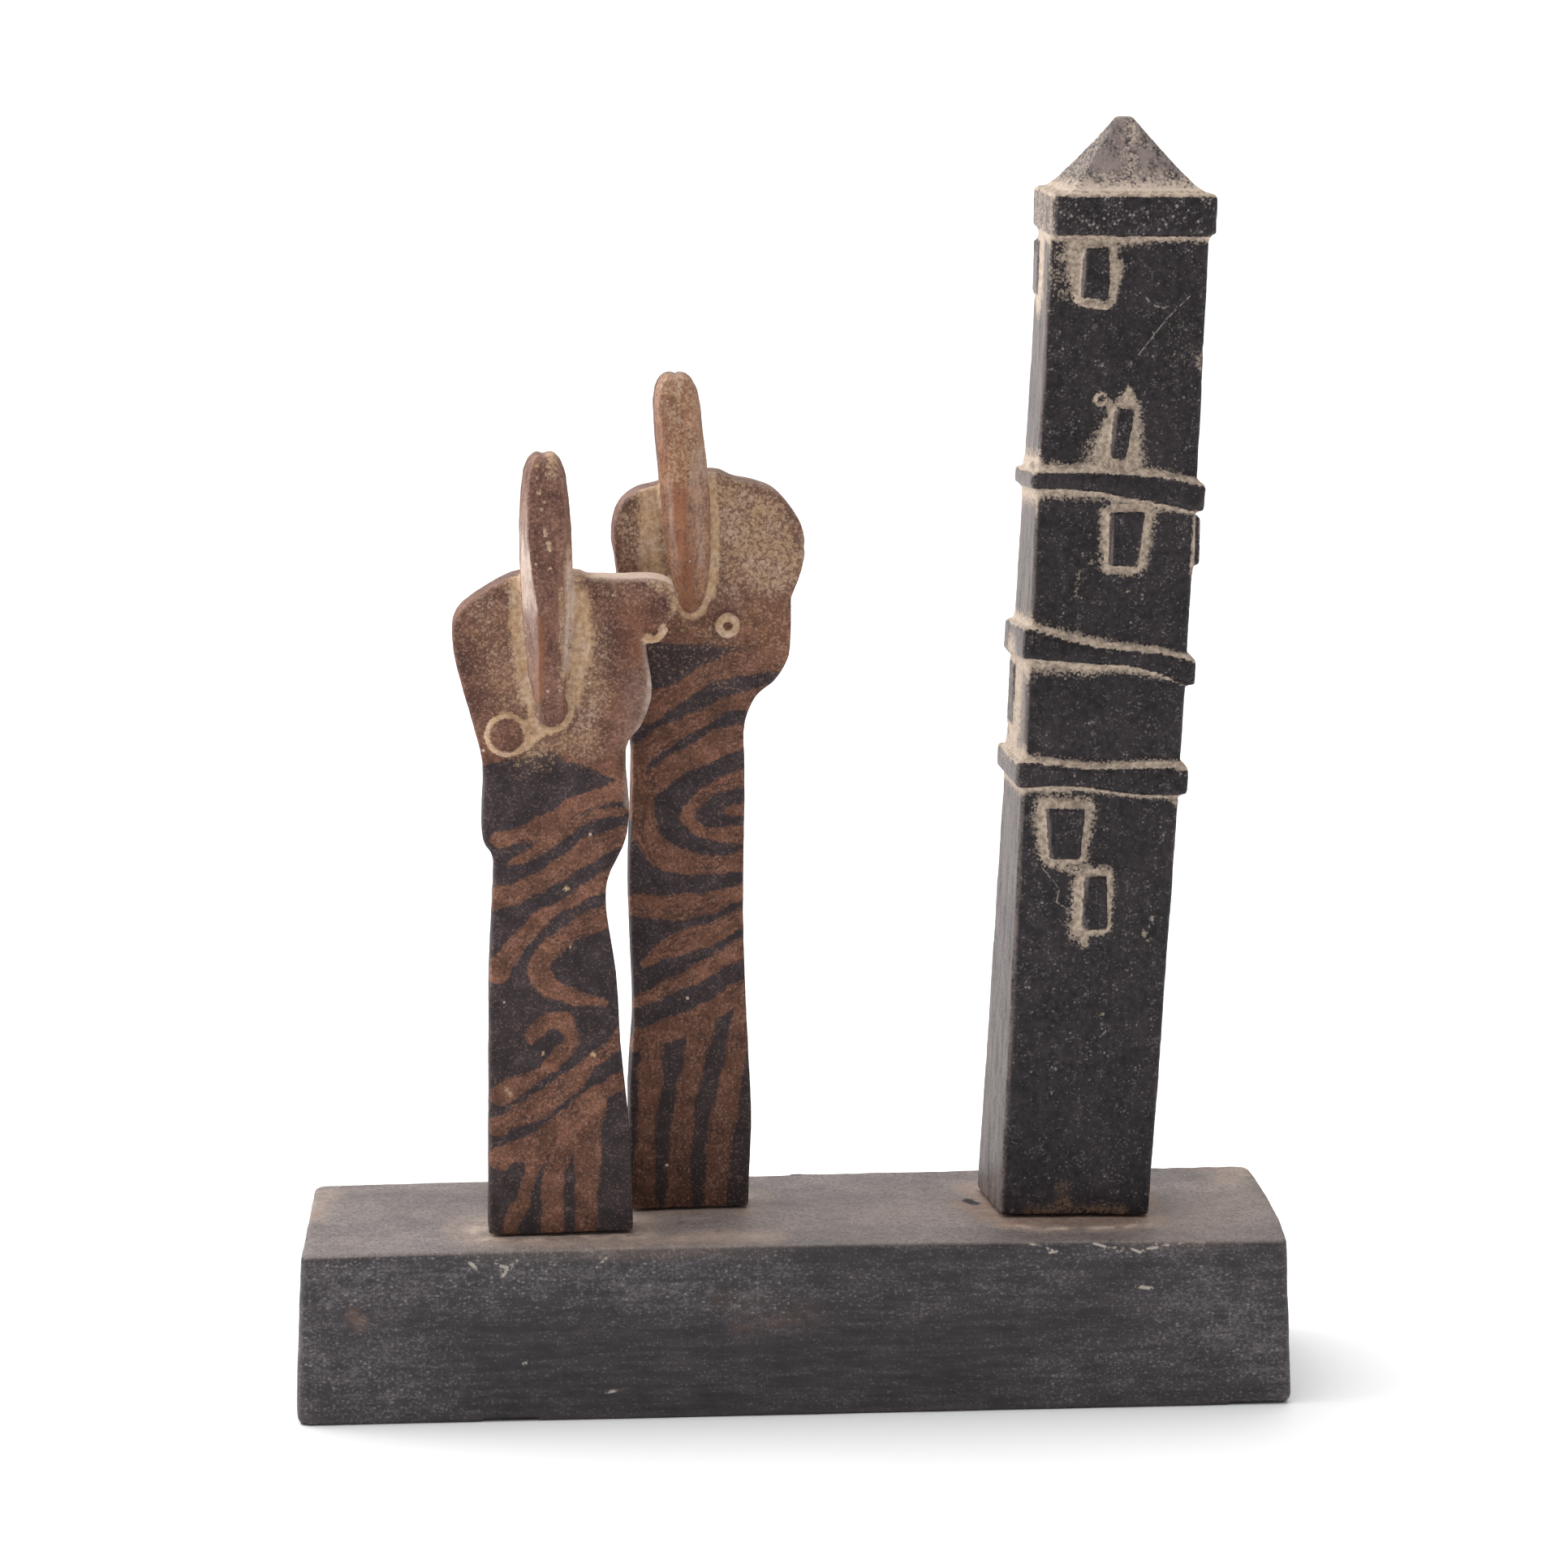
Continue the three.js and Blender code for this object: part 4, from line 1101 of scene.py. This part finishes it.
def black_clay(name, seed):
    """The tower's smoked black clay, slip in its creases, paler slip on the roof and a painted sheen on
    its sides facing left
    """
    paint = Paint(name, seed)
    bloom, cap = paint.field("bloom"), paint.field("cap")
    grain = paint.noise(0.75, 3.0, 0.7)
    cloud = paint.noise(13, 3.0, 0.6, seed=3)
    streaks = paint.noise(2.2, 3.0, 0.6, stretch=(1.0, 1.0, 0.16), seed=5)
    mottle = paint.noise(1.7, 4.0, 0.7, seed=1)
    tone = mottle.rise(0.34, 0.68) * 0.65 + cloud.rise(0.35, 0.7) * 0.35
    rubbed = (grain * 0.5 + streaks * 0.5).rise(0.34, 0.58)
    clusters = paint.noise(3.4, 3.0, 0.65, seed=6).rise(0.4, 0.66)
    speckle = paint.sprinkled(clusters * (0.26 + cap * 0.1) + cloud * 0.08, 0.55, 7)
    flecks = paint.sprinkled(clusters * (0.07 + cap * 0.12), 0.85, 9)
    worn = paint.field("rim").rise(0.35, 1.1) * grain.rise(0.44, 0.62)
    slip = slip_cover(paint, 11)
    # Slip is paler on the roof and, as a painted sheen, on the sides facing left
    slip_tone = paint.blend(bloom * 0.7, slip_colour(paint, 13, TOWER_SLIP), colour(228, 208, 190))
    dots = paint.grog(6.0, 0.4, 0.16, 17)
    marks = scratched(paint, TOWER_SCRATCHES, FOOT, 19)
    clay = paint.coats(
        paint.blend(tone, *SMOKED_CLAY),
        (streaks.rise(0.5, 0.75) * 0.25, colour(66, 60, 64)),
        # A painted sheen: the sides facing left lightened in patches, and the roof paler
        (bloom * rubbed, colour(148, 134, 128)),
        (speckle * 0.34, colour(124, 114, 112)),
        (flecks * 0.6, colour(172, 161, 156)),
        (worn * 0.3, colour(132, 120, 114)),
        (paint.field("rust") * grain.rise(0.4, 0.56) * 0.8, colour(132, 104, 82)),
        (slip * 0.9, slip_tone),
        (dots.most(marks * 0.7) * 0.6, CHALK),
    )
    roughness = 0.36 + grain * 0.12 + slip * 0.3
    relief = grain * 0.1 + cloud * 0.25 + streaks * 0.06 + slip * 0.12 - marks * 0.1
    return paint.finish(clay, roughness, relief, specular=0.22)


def brushed_black_clay(name, seed):
    """The block's charcoal clay, brushed lengthways and scuffed grey, paler on top: partly dust, partly a
    painted sheen
    """
    paint = Paint(name, seed)
    top = paint.field("top")
    grain = paint.noise(0.8, 3.0, 0.7)
    brush = paint.noise(1.5, 4.0, 0.7, stretch=(0.09, 1.0, 1.0), seed=3)
    broad = paint.noise(22, 3.0, 0.6, stretch=(0.5, 1.0, 1.0), seed=5)
    blotch = paint.noise(5.0, 4.0, 0.7, stretch=(0.6, 1.0, 1.0), seed=6)
    tone = brush.rise(0.35, 0.7) * 0.6 + blotch.rise(0.3, 0.7) * 0.4
    top_tone = blotch.rise(0.3, 0.7) * 0.5 + broad.rise(0.35, 0.65) * 0.5
    worn = paint.field("scuffed") * (blotch.rise(0.25, 0.75) * 0.9 + 0.35)
    scuff_share = worn * 0.42 + brush.rise(0.35, 0.65) * 0.24
    scuffed = paint.sprinkled(scuff_share, 0.5, 7, stretch=(0.8, 1.0, 1.0))
    flecks = paint.sprinkled(worn * 0.12 + 0.02, 0.75, 9, stretch=(0.7, 1.0, 1.0))
    dark_grains = paint.sprinkled(blotch * 0.7, 0.7, 15)
    dust = paint.field("slip") * (paint.noise(4.5, 3.0, 0.6, seed=11) * 1.5 + 0.05).least(1.0)
    dusted = paint.sprinkled(dust * 0.9, 0.6, 21) * 0.2 + dust * 0.5
    rust = paint.field("rust") * paint.noise(1.8, 3.0, 0.6, seed=13).rise(0.34, 0.6)
    dots = paint.grog(7.0, 0.4, 0.12, 17)
    marks = scratched(paint, BASE_SCRATCHES, 0, 19) * (1 - top)
    clay = paint.coats(
        paint.blend(tone, *BLOCK_CLAY),
        # The top painted much paler than the sides: partly dusty clay, partly a painted sheen
        (top * 0.85, paint.blend(top_tone, *BLOCK_TOP)),
        (worn * 0.2, colour(112, 107, 110)),
        (scuffed * (0.27 - top * 0.08), colour(140, 135, 139)),
        (flecks * 0.45, colour(164, 156, 156)),
        (grain.rise(0.46, 0.3) * 0.5, colour(26, 24, 27)),
        (dark_grains * (0.3 + top * 0.1), colour(36, 32, 34)),
        (paint.field("rim").rise(0.4, 1.3) * 0.1, colour(140, 128, 118)),
        (dusted, colour(172, 150, 134)),
        (dust.rise(0.7, 1.1) * grain.rise(0.3, 0.6) * 0.6, colour(206, 187, 172)),
        (rust * 0.55, colour(134, 102, 80)),
        # Painted shade in the pit and the back edge's cracks
        (paint.field("pit").rise(0.2, 0.8), colour(24, 19, 18)),
        (dots.most(marks) * 0.75, CHALK),
    )
    roughness = 0.46 + grain * 0.16 + brush * 0.1
    relief = grain * 0.12 + brush * 0.1 + blotch * 0.2 + scuffed * 0.06
    return paint.finish(clay, roughness, relief, specular=0.35)


# The room: a pale floor, soft light and the camera

FLOOR_SIZE = 60.0


def make_floor():
    deselect_all()
    bpy.ops.mesh.primitive_plane_add(size=FLOOR_SIZE, location=(0, 0, 0))
    floor = bpy.context.active_object
    floor.name = "floor"
    paint = Paint("pale floor")
    tone = paint.noise(300, 2.0)
    shade = paint.blend(tone, (0.93, 0.93, 0.93, 1), (0.95, 0.95, 0.95, 1))
    floor.data.materials.append(paint.finish(shade, 0.9, tone, specular=0.1))


# How bright the room itself is, how wide the ceiling's light spreads, and how wide the window is
ROOM_LIGHT = 0.45
CEILING_SPREAD = math.radians(100)
WINDOW_WIDTH = 1.4


def add_light(kind, name, at, towards, power):
    """Adds a light that shines from a place in a direction, and gives back its settings"""
    deselect_all()
    bpy.ops.object.light_add(type=kind, location=at)
    light = bpy.context.active_object
    light.name = name
    light.data.energy = power
    light.rotation_euler = Vector(towards).to_track_quat("-Z", "Y").to_euler()
    return light.data


def make_light():
    """A wide soft light from far above, even over the whole floor, and a window at the left"""
    world = bpy.data.worlds.new("studio")
    bpy.context.scene.world = world
    world.use_nodes = True
    background = world.node_tree.nodes["Background"].inputs
    background["Color"].default_value = (1, 1, 1, 1)
    background["Strength"].default_value = ROOM_LIGHT
    ceiling = add_light("SUN", "ceiling", (0, 0, 3), (0.35, -0.35, -1), 3.0)
    ceiling.angle = CEILING_SPREAD
    window = add_light("AREA", "left window", (-1.6, 0.2, 0.9), (1.6, -0.2, -0.78), 16)
    window.shape = "DISK"
    window.size = WINDOW_WIDTH
    bpy.context.scene.view_settings.view_transform = "Standard"


# The camera looks from the photograph's place: across, depth and height in millimetres, then
# degrees turned to the right, tilted down and rolled
CAMERA_AT = (-104.8, -1037.9, 378.3)
CAMERA_TURN = 5.611
CAMERA_TILT = 12.411
CAMERA_ROLL = 0.689
LENS = 102.48
SENSOR_WIDTH = 36


def make_camera():
    turn, tilt, roll = (math.radians(a) for a in (CAMERA_TURN, CAMERA_TILT, CAMERA_ROLL))
    ahead = Vector((math.sin(turn) * math.cos(tilt), math.cos(turn) * math.cos(tilt), -math.sin(tilt)))
    level = Vector((math.cos(turn), -math.sin(turn), 0))
    upward = level.cross(ahead)
    right = level * math.cos(roll) + upward * math.sin(roll)
    top = upward * math.cos(roll) - level * math.sin(roll)
    data = bpy.data.cameras.new("camera")
    data.lens = LENS
    data.sensor_width = SENSOR_WIDTH
    data.clip_end = 50
    camera = bpy.data.objects.new("camera", data)
    bpy.context.scene.collection.objects.link(camera)
    turned = Matrix((right, top, -ahead)).transposed().to_4x4()
    camera.matrix_world = Matrix.Translation(Vector(CAMERA_AT) * MM) @ turned
    bpy.context.scene.camera = camera


def dress(piece, node, material):
    """Stands a finished piece in for its solid"""
    piece.data.materials.clear()
    piece.data.materials.append(material)
    activate(piece)
    bpy.ops.object.shade_smooth()
    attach(piece, "root")
    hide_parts(node)


make_floor()
make_light()
make_camera()
dress(make_base(), "base", brushed_black_clay("brushed charcoal clay", 2.0))
dress(make_front_figure(), "front_figure", marbled_clay("front marbled clay", 11.0, PLUM, 0.1))
dress(make_back_figure(), "back_figure", marbled_clay("back marbled clay", 47.0, AMBER, 0.4))
dress(make_tower(), "tower", black_clay("smoked black clay", 83.0))
